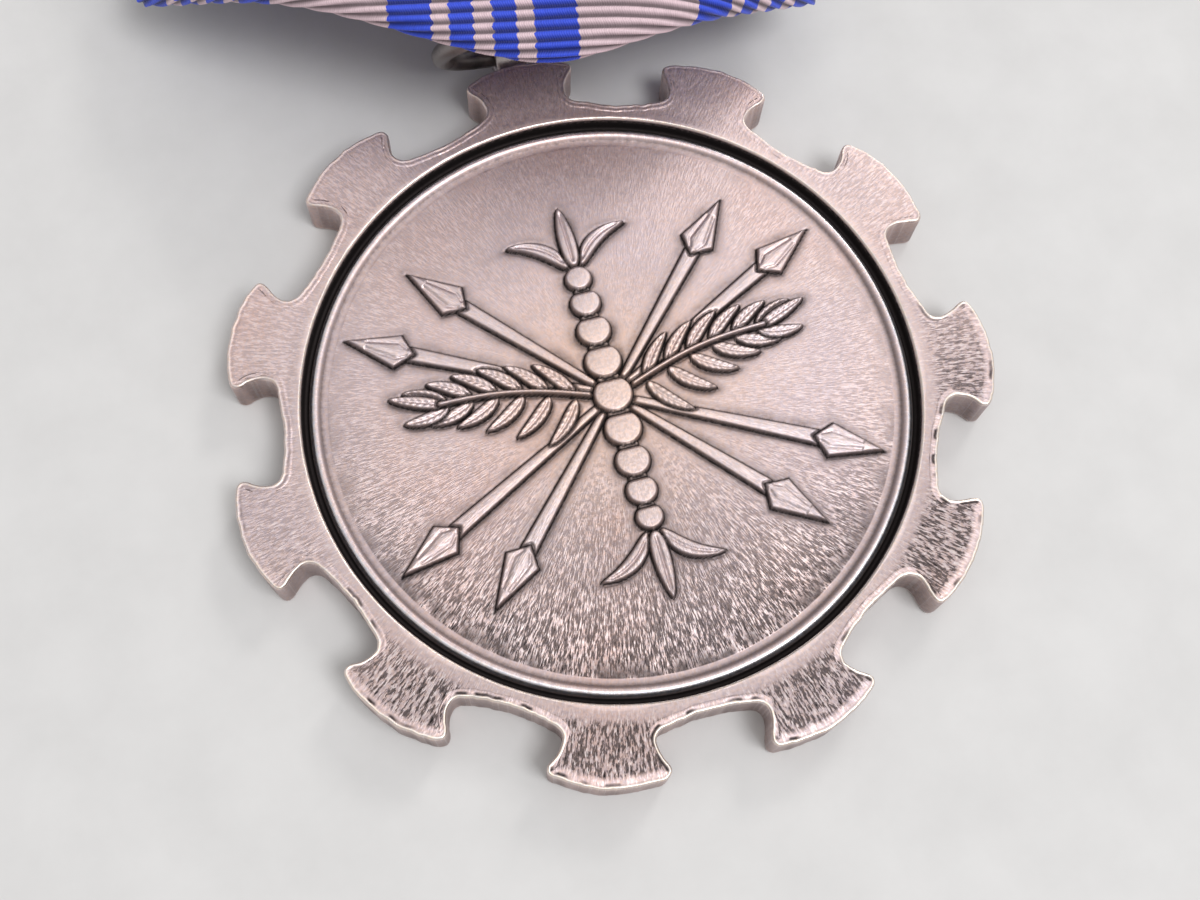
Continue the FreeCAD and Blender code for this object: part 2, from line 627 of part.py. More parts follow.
def make_hinge_rivet():
    """Shank across both ears with a flat head at each end; its cylinders run towards -Y."""
    half = size("ear_half_gap") + size("ear_thickness")
    along_y = Rotation(Vector(1, 0, 0), 90)
    shapes = [primitive("Cylinder", "hinge_rivet_shank", Vector(HINGE_X, BROOCH_Y + half, PIN_Z),
                        along_y, Radius="Sizes.rivet_radius", Height=2 * half)]
    for end, y in (("a", BROOCH_Y + half + size("rivet_head_height")), ("b", BROOCH_Y - half)):
        shapes.append(primitive("Cylinder", "hinge_rivet_head_" + end, Vector(HINGE_X, y, PIN_Z),
                                along_y, Radius="Sizes.rivet_head_radius",
                                Height="Sizes.rivet_head_height"))
    rivet = doc.addObject("Part::MultiFuse", "hinge_rivet")
    rivet.Shapes = shapes
    return rivet


def make_pin():
    """Hinge eye and a needle with a thick root and a tapered tip."""
    body = new_body("pin_stem")
    eye = new_sketch(body, "pin_eye_outline", "XZ_Plane", -BROOCH_Y)
    circle(eye, HINGE_X, PIN_Z, "pin_eye_radius")
    pad(body, eye, "pin_eye", "2 * Sizes.pin_eye_half_width", midplane=True)
    start_x, tip_x = HINGE_X + 0.75, size("pin_tip_x")
    root_z, stem_z = PIN_Z + size("pin_root_radius"), PIN_Z + size("pin_radius")
    profile = new_sketch(body, "needle_profile", "XZ_Plane", -BROOCH_Y)
    trace(profile, [(start_x, PIN_Z), (start_x, root_z), (size("pin_root_end_x"), root_z),
                    (size("pin_step_end_x"), stem_z), (size("pin_taper_x"), stem_z),
                    (tip_x, PIN_Z + 0.08), (tip_x, PIN_Z)])
    # construction line that the needle is turned about
    profile.addGeometry(Part.LineSegment(Vector(start_x, PIN_Z, 0), Vector(tip_x, PIN_Z, 0)), True)
    needle = body.newObject("PartDesign::Revolution", "needle")
    needle.Profile = profile
    needle.ReferenceAxis = (profile, ["Axis0"])
    needle.Angle = 360.0
    doc.recompute()
    hole = new_sketch(body, "pin_eye_hole_outline", "XZ_Plane", -BROOCH_Y)
    circle(hole, HINGE_X, PIN_Z, "pin_eye_hole")
    pocket(body, hole, "pin_eye_bore", "6", midplane=True)
    return body


# ---------------------------------------------------------------- catch
CATCH_X = size("catch_low_x")
CATCH_CUT_X = CATCH_X - 1.0                     # cuts start clear of the catch
SLOT_DROP = 3                                   # slots run this far below the pin's axis


def cut_bore_and_slot(body, prefix, length):
    """Bore along X, opened downwards by a slot."""
    bore = new_sketch(body, prefix + "_bore_outline", "YZ_Plane", CATCH_CUT_X)
    circle(bore, BROOCH_Y, PIN_Z, prefix + "_bore_radius")
    pocket(body, bore, prefix + "_bore", length)
    slot = new_sketch(body, prefix + "_slot_outline", "YZ_Plane", CATCH_CUT_X)
    half = size(prefix + "_slot_half")
    rectangle(slot, BROOCH_Y - half, PIN_Z, BROOCH_Y + half, PIN_Z - SLOT_DROP)
    pocket(body, slot, prefix + "_slot", length)


def make_catch():
    """Ring under the plate, on a foot."""
    body = new_body("catch_body")
    ring = new_sketch(body, "catch_ring_outline", "YZ_Plane", CATCH_X)
    circle(ring, BROOCH_Y, PIN_Z, "catch_outer_radius")
    pad(body, ring, "catch_ring", "Sizes.catch_length")
    foot = new_sketch(body, "catch_foot_outline", "YZ_Plane", CATCH_X)
    foot_half = size("catch_foot_half")
    rectangle(foot, BROOCH_Y - foot_half, PIN_Z + 1.0, BROOCH_Y + foot_half, PLATE_LOW)
    pad(body, foot, "catch_foot", "Sizes.catch_length")
    cut_bore_and_slot(body, "catch", "4")
    return body


def make_rotor():
    """Barrel inside the catch, with a flange and tab beyond its +X end."""
    body = new_body("catch_rotor")
    barrel = new_sketch(body, "rotor_barrel_outline", "YZ_Plane", CATCH_X)
    circle(barrel, BROOCH_Y, PIN_Z, "rotor_outer_radius")
    pad(body, barrel, "rotor_barrel", "Sizes.catch_length + Sizes.rotor_flange_gap")
    flange_x = CATCH_X + size("catch_length") + size("rotor_flange_gap")
    flange = new_sketch(body, "rotor_flange_outline", "YZ_Plane", flange_x)
    circle(flange, BROOCH_Y, PIN_Z, "rotor_flange_radius")
    pad(body, flange, "rotor_flange", "Sizes.rotor_flange_thickness")
    tab = new_sketch(body, "rotor_tab_outline", "YZ_Plane", flange_x)
    tab_half = size("rotor_tab_thickness") / 2
    rectangle(tab, BROOCH_Y + 1.0, PIN_Z - tab_half,
              BROOCH_Y + size("rotor_tab_reach"), PIN_Z + tab_half)
    pad(body, tab, "rotor_tab", "Sizes.rotor_flange_thickness")
    cut_bore_and_slot(body, "rotor", "6")
    return body


# ---------------------------------------------------------------- stitches
def make_stitching():
    """Row of short threads along X, under the sleeve's tail."""
    count = int(size("stitch_count"))
    length = size("stitch_length")
    threads = []
    for i in range(count):
        x = (i - (count - 1) / 2) * size("stitch_pitch") - length / 2
        threads.append(primitive(
            "Cylinder", "stitch_%02d" % i,
            Vector(x, TAIL_Y + 0.42, TAIL_LOW - size("stitch_radius")),
            Rotation(Vector(0, 1, 0), 90),
            Radius="Sizes.stitch_radius", Height="Sizes.stitch_length"))
    stitching = doc.addObject("Part::Compound", "ribbon_stitching")
    stitching.Links = threads
    return stitching


# ---------------------------------------------------------------- build and write
disc_pieces = [make_planchet(), make_lug(), make_ring(), make_drape(), make_ring_loop()]
brooch_pieces = [make_bar(), make_sleeve(), make_plate(), make_brooch_rivets(),
                 make_hinge_bracket(), make_hinge_rivet(), make_pin(), make_catch(),
                 make_rotor(), make_stitching()]
for piece in brooch_pieces:
    piece.Placement = ASKEW
doc.recompute()

for item in doc.Objects:
    if "Invalid" in item.State or "Error" in item.State:
        raise RuntimeError("object %s failed: %s" % (item.Label, item.State))
pieces = disc_pieces + brooch_pieces
for piece in pieces:
    if piece.Shape.isNull() or not piece.Shape.isValid() or piece.Shape.Volume <= 0:
        raise RuntimeError("shape of %s is not usable" % piece.Label)
for piece in pieces:
    piece.Shape.exportStep("parts/%s.step" % piece.Label)
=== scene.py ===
"""A struck silver medal on a striped ribbon with a brooch bar, lying on a pale floor.

The disc is centred on the origin with its back at z = 0 and its face towards +Z. The ribbon
runs from the disc's top lobe towards +Y, and the brooch lies across its far end.
Sizes are in millimetres unless a name or comment says otherwise; meshes are built in metres.
"""
import bpy
import bmesh
import math
import numpy as np
from mathutils import Vector, Matrix


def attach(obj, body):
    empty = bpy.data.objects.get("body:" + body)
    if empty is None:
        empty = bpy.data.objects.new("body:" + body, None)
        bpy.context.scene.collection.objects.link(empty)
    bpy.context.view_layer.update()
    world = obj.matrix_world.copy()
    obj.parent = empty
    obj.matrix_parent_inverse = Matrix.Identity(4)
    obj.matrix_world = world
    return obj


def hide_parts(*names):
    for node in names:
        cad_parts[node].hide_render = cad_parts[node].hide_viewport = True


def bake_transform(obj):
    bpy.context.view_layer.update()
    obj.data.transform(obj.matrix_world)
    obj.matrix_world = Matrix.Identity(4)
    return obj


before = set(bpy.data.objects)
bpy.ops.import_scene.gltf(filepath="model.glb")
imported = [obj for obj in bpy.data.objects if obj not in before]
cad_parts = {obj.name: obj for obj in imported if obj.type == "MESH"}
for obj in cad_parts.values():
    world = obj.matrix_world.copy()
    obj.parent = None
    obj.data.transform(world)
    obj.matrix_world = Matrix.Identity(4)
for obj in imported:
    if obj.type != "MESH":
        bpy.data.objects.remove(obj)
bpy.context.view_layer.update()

# ------------------------------------------------------------------ driving sizes
MM = 0.001
PER_METRE = 1000.0

# disc
THICKNESS = 2.4
FIELD_Z = THICKNESS - 0.55           # level of the sunk field
FIELD_DOME = 0.10                    # rise of the field at its middle
FIELD_RADIUS = 12.72
RIM_RADIUS = 14.01                   # where the flat rim face starts
RIM_MARGIN = 0.36                    # width of the worked border along the outline
FIELD_CELLS = 440
RIM_STEPS = 14
LOBES = 11
LOBE_ANGLE = 2 * math.pi / LOBES
SAMPLES_PER_LOBE = 800
OUTLINE_COUNT = LOBES * SAMPLES_PER_LOBE

# suspension
LUG_Y, LUG_Z = 18.75, 1.3            # centre of the lug's eye
RING_RADIUS, WIRE_RADIUS = 3.50, 0.45
LOOP_Y = 16.0                        # where the ring's far side passes through the tape loop
LOOP_Z = LUG_Z + math.sqrt((2 * RING_RADIUS) ** 2 - (LUG_Y - LOOP_Y) ** 2)

# ribbon, in its own frame before it is turned askew
RIBBON_HALF_WIDTH = 17.45
FOLD_Y, FOLD_Z = 14.0, 9.3           # point of the V fold
BEND_Y, BEND_Z = 52.0, 6.45          # bend next to the brooch
CORD_PITCH = 0.53                    # spacing of the weft cords
CLOTH_THICKNESS = 0.30
FOLD_GAP, BROOCH_GAP = 0.62, 0.60    # half the distance between the two sheets' outer faces
RIBBON_TURN = math.radians(-11.0)
RIBBON_SHIFT = (-2.05, 14.05)        # where the fold's point lands on the disc


# ------------------------------------------------------------------ number helpers
def smooth01(t):
    t = np.clip(t, 0, 1)
    return t * t * (3 - 2 * t)


def bell(value, width):
    return np.exp(-(value / width) ** 2)


def unit(vectors):
    return vectors / np.linalg.norm(vectors, axis=-1, keepdims=True)


def signed_power(value, exponent):
    return np.sign(value) * np.abs(value) ** exponent


def arc_length(points):
    """distance travelled at each point of a path"""
    return np.concatenate([[0], np.cumsum(np.linalg.norm(np.diff(points, axis=0), axis=1))])


def gaussian_kernel(reach, sigma):
    kernel = np.exp(-0.5 * (np.arange(-reach, reach + 1) / sigma) ** 2)
    return kernel / kernel.sum()


def arc_through(start, middle, end, count):
    """count points on the circular arc through three points, end points included"""
    start, middle, end = (np.array(p, float) for p in (start, middle, end))
    a, c = middle - start, end - start
    d = 2 * (a[0] * c[1] - a[1] * c[0])
    centre = start + np.array([c[1] * (a @ a) - a[1] * (c @ c),
                               a[0] * (c @ c) - c[0] * (a @ a)]) / d
    radius = np.linalg.norm(start - centre)
    first, mid, last = [math.atan2(*(p - centre)[::-1]) for p in (start, middle, end)]
    sweep = (last - first) % (2 * math.pi)
    if (mid - first) % (2 * math.pi) > sweep:
        sweep -= 2 * math.pi
    angle = first + sweep * np.linspace(0, 1, count)
    return np.stack([centre[0] + radius * np.cos(angle),
                     centre[1] + radius * np.sin(angle)], -1)


def lattice_noise(x, y, scale, seed=0):
    """smooth, repeatable value noise in two dimensions, 0..1"""
    xs, ys = x / scale, y / scale
    xi, yi = np.floor(xs).astype(np.int64), np.floor(ys).astype(np.int64)
    fx, fy = xs - xi, ys - yi
    fx, fy = fx * fx * (3 - 2 * fx), fy * fy * (3 - 2 * fy)

    def corner(a, b):
        n = (a * 374761393 + b * 668265263 + seed * 1442695041) & 0xFFFFFFFF
        n = ((n ^ (n >> 13)) * 1274126177) & 0xFFFFFFFF
        return ((n ^ (n >> 16)) & 0xFFFF) / 65535.0

    low = corner(xi, yi) * (1 - fx) + corner(xi + 1, yi) * fx
    high = corner(xi, yi + 1) * (1 - fx) + corner(xi + 1, yi + 1) * fx
    return low * (1 - fy) + high * fy


def point_noise(points, scale, seed, offset=0.0):
    return lattice_noise(points[:, 0] + offset, points[:, 1] + offset, scale, seed)


# ------------------------------------------------------------------ mesh helpers
def mesh_object(name, verts, quads, tris=(), attributes=None, uv=None):
    """verts in mm; attributes {name: value per vertex}; uv per vertex"""
    quads = np.asarray(quads, int).reshape(-1, 4)
    tris = np.asarray(tris, int).reshape(-1, 3)
    verts = np.asarray(verts, float) * MM
    mesh = bpy.data.meshes.new(name)
    mesh.vertices.add(len(verts))
    mesh.vertices.foreach_set("co", verts.astype(np.float32).ravel())
    loops = np.concatenate([quads.ravel(), tris.ravel()])
    starts = np.concatenate([np.arange(len(quads)) * 4,
                             len(quads) * 4 + np.arange(len(tris)) * 3])
    totals = np.concatenate([np.full(len(quads), 4), np.full(len(tris), 3)])
    mesh.loops.add(len(loops))
    mesh.loops.foreach_set("vertex_index", loops.astype(np.int32))
    mesh.polygons.add(len(starts))
    mesh.polygons.foreach_set("loop_start", starts.astype(np.int32))
    mesh.polygons.foreach_set("loop_total", totals.astype(np.int32))
    mesh.update(calc_edges=True)
    mesh.validate()
    mesh.polygons.foreach_set("use_smooth", np.ones(len(mesh.polygons), bool))
    for key, values in (attributes or {}).items():
        attribute = mesh.attributes.new(key, "FLOAT", "POINT")
        attribute.data.foreach_set("value", np.asarray(values, np.float32))
    if uv is not None:
        layer = mesh.uv_layers.new(name="UVMap")
        corners = np.zeros(len(mesh.loops), np.int32)
        mesh.loops.foreach_get("vertex_index", corners)
        layer.data.foreach_set("uv", np.asarray(uv, np.float32)[corners].ravel())
    obj = bpy.data.objects.new(name, mesh)
    bpy.context.scene.collection.objects.link(obj)
    return obj


def grid_quads(rows, cols, wrap=False, base=0, flip=False):
    """quads of a rows x cols lattice, row-major; wrap joins the last column to the first"""
    i = np.arange(rows - 1)[:, None]
    j = np.arange(cols if wrap else cols - 1)[None, :]
    jn = (j + 1) % cols
    corners = [i * cols + j, i * cols + jn, (i + 1) * cols + jn, (i + 1) * cols + j]
    quads = np.stack(corners, -1).reshape(-1, 4) + base
    return quads[:, ::-1] if flip else quads


def fan(first, count, centre):
    """triangles from a ring of vertices to a centre vertex"""
    j = np.arange(count)
    return np.stack([first + j, first + (j + 1) % count, np.full(count, centre)], -1)


def capped_sections(sections, start, end):
    """verts, quads and tris of a skin over ring sections, closed at two centre points"""
    rows, sides = sections.shape[:2]
    verts = np.vstack([sections.reshape(-1, 3), [start, end]])
    start_cap = fan(0, sides, rows * sides)[:, [1, 0, 2]]
    end_cap = fan((rows - 1) * sides, sides, rows * sides + 1)
    return verts, grid_quads(rows, sides, wrap=True), np.vstack([start_cap, end_cap])


def tube(path, radius, sides):
    """parts of a capped tube of varying radius along a path that isn't upright at its start"""
    path = np.asarray(path, float)
    tangents = unit(np.gradient(path, axis=0))
    side = unit(np.cross(tangents[0], [0.0, 0.0, 1.0]))
    side_axes = [side]
    for tangent in tangents[1:]:
        side = side_axes[-1] - tangent * (side_axes[-1] @ tangent)
        side_axes.append(unit(side))
    side_axes = np.array(side_axes)
    up_axes = np.cross(tangents, side_axes)
    angle = np.linspace(0, 2 * math.pi, sides, endpoint=False)[None, :, None]
    around = np.cos(angle) * side_axes[:, None, :] + np.sin(angle) * up_axes[:, None, :]
    sections = path[:, None, :] + radius[:, None, None] * around
    return capped_sections(sections, path[0], path[-1])


def closed_object(name, *parts):
    """one object from closed (verts, quads, tris) parts, normals facing out"""
    offsets = np.cumsum([0] + [len(verts) for verts, _, _ in parts])
    obj = mesh_object(name,
                      np.concatenate([verts for verts, _, _ in parts]),
                      np.concatenate([part[1] + o for part, o in zip(parts, offsets)]),
                      np.concatenate([part[2] + o for part, o in zip(parts, offsets)]))
    fix_normals(obj)
    return obj


def fix_normals(obj):
    work = bmesh.new()
    work.from_mesh(obj.data)
    bmesh.ops.recalc_face_normals(work, faces=work.faces)
    work.to_mesh(obj.data)
    work.free()


# ------------------------------------------------------------------ material helpers
class Signal:
    """a shader socket that can be used in arithmetic; every operation adds a Math node"""

    def __init__(self, shader, socket):
        self.shader = shader
        self.socket = socket

    def __add__(self, other):
        return self.shader.math("ADD", self, other)

    def __radd__(self, other):
        return self.shader.math("ADD", other, self)

    def __sub__(self, other):
        return self.shader.math("SUBTRACT", self, other)

    def __rsub__(self, other):
        return self.shader.math("SUBTRACT", other, self)

    def __mul__(self, other):
        return self.shader.math("MULTIPLY", self, other)

    def __truediv__(self, other):
        return self.shader.math("DIVIDE", self, other)

    def clamped(self):
        """limits the operation just made to 0..1"""
        self.socket.node.use_clamp = True
        return self

    def above(self, start, gain):
        """0 up to start, then rising to 1 at the given gain"""
        return ((self - start) * gain).clamped()

    def below(self, start, gain):
        """0 down to start, then rising to 1 under it at the given gain"""
        return ((start - self) * gain).clamped()


class Shader:
    """a new material and the nodes that feed its Principled BSDF"""

    def __init__(self, name):
        self.material = bpy.data.materials.new(name)
        self.material.use_nodes = True
        self.tree = self.material.node_tree

    def feed(self, socket, value):
        """links a signal or sets a constant; None leaves the socket alone"""
        if isinstance(value, Signal):
            self.tree.links.new(value.socket, socket)
        elif value is not None:
            if socket.type == "RGBA" and len(value) == 3:
                value = (*value, 1)
            socket.default_value = value

    def node(self, kind, inputs=None, output=0, **properties):
        node = self.tree.nodes.new(kind)
        for key, value in properties.items():
            setattr(node, key, value)
        for key, value in (inputs or {}).items():
            self.feed(node.inputs[key], value)
        return Signal(self, node.outputs[output])

    def surface(self, **inputs):
        """feeds the BSDF (Base_Color stands for "Base Color") and returns the material"""
        bsdf = self.tree.nodes["Principled BSDF"]
        for key, value in inputs.items():
            self.feed(bsdf.inputs[key.replace("_", " ")], value)
        return self.material

    def math(self, operation, *operands):
        return self.node("ShaderNodeMath", dict(enumerate(operands)), operation=operation)

    def sine(self, signal, pitch):
        return self.math("SINE", signal * (2 * math.pi / pitch))

    def mix(self, factor, a, b, blend="MIX"):
        return self.node("ShaderNodeMix", {0: factor, 6: a, 7: b}, output=2,
                         data_type="RGBA", blend_type=blend)

    def tinted(self, colour, factor):
        return self.mix(1.0, colour, factor, blend="MULTIPLY")

    def ramp(self, signal, stops, interpolation="LINEAR"):
        result = self.node("ShaderNodeValToRGB", {0: signal})
        colour_ramp = result.socket.node.color_ramp
        colour_ramp.interpolation = interpolation
        elements = colour_ramp.elements
        while len(elements) > 1:
            elements.remove(elements[-1])
        elements[0].position = stops[0][0]
        elements[0].color = (*stops[0][1], 1)
        for position, colour in stops[1:]:
            elements.new(position).color = (*colour, 1)
        return result

    def noise(self, vector, scale, detail, roughness):
        return self.node("ShaderNodeTexNoise", {
            "Scale": scale, "Detail": detail, "Roughness": roughness,
            "Distortion": 0.0, "Vector": vector})

    def bump(self, height, strength, distance, normal=None):
        """distance in metres"""
        return self.node("ShaderNodeBump", {
            "Strength": strength, "Distance": distance, "Height": height, "Normal": normal})

    def attribute(self, name):
        return self.node("ShaderNodeAttribute", output="Fac", attribute_name=name)

    def combine(self, x, y, z=None):
        return self.node("ShaderNodeCombineXYZ", {0: x, 1: y, 2: z})

    def separate(self, vector):
        split = self.node("ShaderNodeSeparateXYZ", {0: vector})
        return [Signal(self, output) for output in split.socket.node.outputs]

    def object_metres(self):
        return self.node("ShaderNodeTexCoord", output="Object")

    def in_mm(self, vector):
        return self.node("ShaderNodeVectorMath", {0: vector, "Scale": PER_METRE},
                         operation="SCALE")

    def mapped(self, vector, scale, rotation=None):
        return self.node("ShaderNodeMapping",
                         {0: vector, "Scale": scale, "Rotation": rotation})


def set_material(obj, material):
    if len(obj.material_slots) == 0:
        obj.data.materials.append(material)
    else:
        for slot in obj.material_slots:
            slot.material = material


# ------------------------------------------------------------------ materials
def antique_silver():
    """struck, oxidised and rubbed silver with a radial strike grain, painted highlights and
    glints, and a painted lighter top
    """
    light, oxide = (0.66, 0.525, 0.515), (0.035, 0.029, 0.029)
    sh = Shader("antique_silver_struck")
    position = sh.object_metres()
    x_metres, y_metres, _ = sh.separate(position)
    x, y = x_metres * PER_METRE, y_metres * PER_METRE
    radius = sh.math("SQRT", x * x + y * y + 0.01)
    cosine, sine = x / radius, y / radius

    def polar_noise(across, along, detail, roughness):
        """noise that is narrow across the radius and long along it"""
        vector = sh.combine(cosine * across, sine * across, radius * along)
        return sh.noise(vector, scale=1.0, detail=detail, roughness=roughness)

    fine_grain = polar_noise(across=195.0, along=2.9, detail=2.0, roughness=0.6)
    coarse_grain = polar_noise(across=125.0, along=2.2, detail=3.0, roughness=0.65)
    mm = sh.in_mm(position)
    mottle = sh.noise(mm, scale=5.5, detail=4.0, roughness=0.62)
    patches = sh.noise(mm, scale=0.16, detail=3.0, roughness=0.5)
    # the grain turns from even mottle at the middle to radial lines by 9 mm out
    radial_share = sh.math("SMOOTH_MIN", radius / 9.0, 1.0, 0.2)
    radial = fine_grain * 0.5 + coarse_grain * 0.5
    grain = radial * radial_share + mottle * (1.0 - radial_share)

    patina = sh.attribute("patina")       # 0..1, sunk oxide
    wear_and_highlight = sh.attribute("wear_and_highlight")           # 0..1, rubbed bright, and painted highlight lines on the ring and rim edges
    density = sh.attribute("grain")       # 0..1, strength of the dark grain
    # streaks of oxide left between the rubbed crests of the grain
    streak = ((0.515 - grain) * 13.0 * 0.95 + 0.36).clamped()
    streak_strength = 0.10 + sh.math("POWER", density, 1.7) * 1.0
    pits = grain.below(0.435, gain=14.0)
    dirt = (sh.math("MAXIMUM", streak * 0.75, pits) * (streak_strength * 1.0)).clamped()
    deep = patina.above(0.88, gain=9.0)
    mottled_patina = (patina * (0.70 + mottle * 0.6)).clamped()
    dirt = sh.math("MAXIMUM", dirt, sh.math("MAXIMUM", mottled_patina, deep))
    dirt = (dirt * (1.0 - wear_and_highlight * 0.92)).clamped()

    # large warm and cool patches
    def light_times(*factors):
        return tuple(channel * factor for channel, factor in zip(light, factors))

    tint = sh.ramp(patches, [(0.30, light_times(1.02, 0.96, 0.93)), (0.5, light),
                             (0.72, light_times(0.93, 0.95, 0.99))])
    # painted light: the upper half is tinted up to 27% lighter, standing in for the light that
    # falls on the top of the disc
    painted_top_light = 1.0 + y.above(1.0, gain=1.0 / 13.0) * 0.27
    tint = sh.tinted(tint, sh.combine(painted_top_light, painted_top_light, painted_top_light))
    # thin warm tone with a painted warm highlight round the middle of the emblem
    middle = radius.below(7.5, gain=1.0 / 7.5)
    warm_noise = sh.noise(mm, scale=0.55, detail=3.0, roughness=0.6)
    warm_tone_and_highlight = (middle * (0.15 + warm_noise)).clamped()
    tint = sh.mix(warm_tone_and_highlight, tint, sh.tinted(tint, (1.16, 1.02, 0.80)))
    # rubbed edges with painted highlights: a cool bluish-white painted highlight on the raised
    # ring, a warm cream one on the rim
    inside_rim = radius.below(13.75, gain=12.0)
    rubbed_highlight_colour = sh.mix(inside_rim, (0.94, 0.85, 0.76), (0.90, 0.94, 1.0))
    bright = sh.mix(wear_and_highlight * 0.85, tint, rubbed_highlight_colour)
    # faint warm and cool speckle of thin oxide
    speckle = sh.noise(mm, scale=8.0, detail=2.0, roughness=0.5)
    speckle = sh.ramp(speckle, [(0.34, (1.05, 0.99, 0.90)), (0.50, (1.0, 1.0, 1.0)),
                                (0.66, (0.92, 0.97, 1.04))])
    bright = sh.mix(0.75, bright, sh.tinted(bright, speckle))
    # painted glints: bright pinkish-white specks on the crests of the grain
    painted_glint = fine_grain.above(0.575, gain=16.0)
    painted_glint = (painted_glint * (0.12 + density * 0.50)).clamped()
    bright = sh.mix(painted_glint, bright, (0.97, 0.88, 0.87))

    # dirt is rougher and rubbed metal smoother
    roughness = 0.49 + dirt * 0.22 + (mottle - 0.5) * 0.30 - wear_and_highlight * 0.17
    height = (grain * 0.9 - dirt * 0.5) * (0.25 + density * 0.9)
    grain_bump = sh.bump(height, strength=0.55, distance=0.00006)
    fine = sh.noise(mm, scale=22.0, detail=2.0, roughness=0.5)
    return sh.surface(
        Base_Color=sh.mix(dirt, bright, oxide), Metallic=1.0, Roughness=roughness,
        Normal=sh.bump(fine, strength=0.12, distance=0.00002, normal=grain_bump))


def plain_metal(name, color, dark, roughness, scratch, stretch, bump):
    """worn sheet or wire metal: drawn lines, tarnish in patches, faint scratches.

    scratch sets how fine the scratches are; stretch scales the drawn lines along x, y, z.
    """
    sh = Shader(name)
    position = sh.object_metres()
    stretched = sh.mapped(position, scale=tuple(PER_METRE * s for s in stretch))
    mm = sh.in_mm(position)
    lines = sh.noise(stretched, scale=9.0, detail=3.0, roughness=0.6)
    blotches = sh.noise(mm, scale=0.9, detail=4.0, roughness=0.6)
    fine = sh.noise(mm, scale=scratch / 4.0, detail=3.0, roughness=0.6)
    patches = blotches.above(0.52, gain=4.0)
    dark_lines = lines.above(0.60, gain=5.0)
    tarnish = (patches * 0.45 + dark_lines * 0.30).clamped()
    # convex edges are rubbed clean and bright
    edge = sh.node("ShaderNodeNewGeometry", output="Pointiness").above(0.53, gain=9.0)
    tarnish = tarnish * (1.0 - edge)
    colour = sh.mix(tarnish, color, dark)
    colour = sh.mix(edge * 0.5, colour, tuple(min(1.0, c * 1.3) for c in color))
    return sh.surface(
        Base_Color=colour, Metallic=1.0,
        Roughness=roughness + tarnish * 0.25 + (fine - 0.5) * 0.15,
        Normal=sh.bump(lines * 0.7 + fine * 0.3, strength=bump, distance=0.00003))


def grey_wave(sh, signal, pitch):
    """a sine wave brought into 0..1"""
    return (sh.sine(signal, pitch) + 1.0) * 0.5


UV_WIDTH, UV_LENGTH = 40.0, 10.0     # ribbon millimetres per UV unit, across and along
STRIPE_SPAN = 17.6                   # distance from the middle that fills the stripe ramp
# distance from the ribbon's middle where each stripe starts, grey and blue by turns
STRIPE_STARTS = [0.0, 0.40, 1.40, 2.20, 4.01, 9.39, 11.22, 12.02, 13.02, 13.82, 14.82, 15.62]


def ribbon_weave():
    sh = Shader("ribbon_weave")
    u, v, _ = sh.separate(sh.node("ShaderNodeUVMap", uv_map="UVMap"))
    across = (u - 0.5) * UV_WIDTH
    along = v * UV_LENGTH
    # threads are fine, so a stripe border is ragged by about one thread
    cell = sh.combine(across * 1.3, sh.math("FLOOR", along * (1.0 / 0.145)))
    cell = sh.node("ShaderNodeVectorMath", {0: cell}, operation="FLOOR")
    ragged = sh.node("ShaderNodeTexWhiteNoise", {"Vector": cell}, output="Value",
                     noise_dimensions="2D")
    from_middle = sh.math("ABSOLUTE", across + (ragged - 0.5) * 0.055) / STRIPE_SPAN

    def stripes(grey, blue):
        stops = [(start / STRIPE_SPAN, blue if i % 2 else grey)
                 for i, start in enumerate(STRIPE_STARTS)]
        return sh.ramp(from_middle, stops, interpolation="CONSTANT")

    # painted shade: the second set of stripe colours is a darkened copy of the first, standing in
    # for the shade in the valleys between the weft cords
    crest = stripes(grey=(0.70, 0.53, 0.575), blue=(0.034, 0.078, 0.66))
    painted_valley_shade = stripes(grey=(0.150, 0.110, 0.120), blue=(0.003, 0.012, 0.150))
    # warp threads cross every cord: fine lines along the strip
    warp = grey_wave(sh, across, pitch=0.105)
    thread = sh.noise(sh.combine(across * 9.0, along * 1.4), scale=1.0, detail=3.0,
                      roughness=0.6)
    cloudy = sh.noise(sh.combine(across * 0.8, along * 1.7), scale=0.9, detail=3.0,
                      roughness=0.6)
    on_crest = sh.attribute("cord").above(0.12, gain=1.35)
    colour = sh.mix(on_crest, painted_valley_shade, crest)
    shade = (0.80 + thread * 0.42) * (0.90 + warp * 0.12) * (0.90 + cloudy * 0.2)
    return sh.surface(
        Base_Color=sh.tinted(colour, sh.combine(shade, shade, shade)),
        Roughness=0.55, Sheen_Weight=0.22, Sheen_Roughness=0.4,
        Sheen_Tint=(0.85, 0.86, 1.0), Specular_IOR_Level=0.35,
        Normal=sh.bump(warp * 0.55 + thread * 0.6, strength=0.6, distance=0.00004))


def sewing_thread():
    sh = Shader("sewing_thread")
    turned = sh.mapped(sh.object_metres(), scale=(PER_METRE,) * 3,
                       rotation=(0, 0, math.radians(35)))
    twist = sh.node("ShaderNodeTexWave", {"Scale": 3.2, "Distortion": 1.0, "Vector": turned})
    return sh.surface(
        Base_Color=sh.ramp(twist, [(0.0, (0.42, 0.38, 0.39)), (0.6, (0.74, 0.70, 0.70))]),
        Roughness=0.7, Sheen_Weight=0.4,
        Normal=sh.bump(twist, strength=0.7, distance=0.00004))


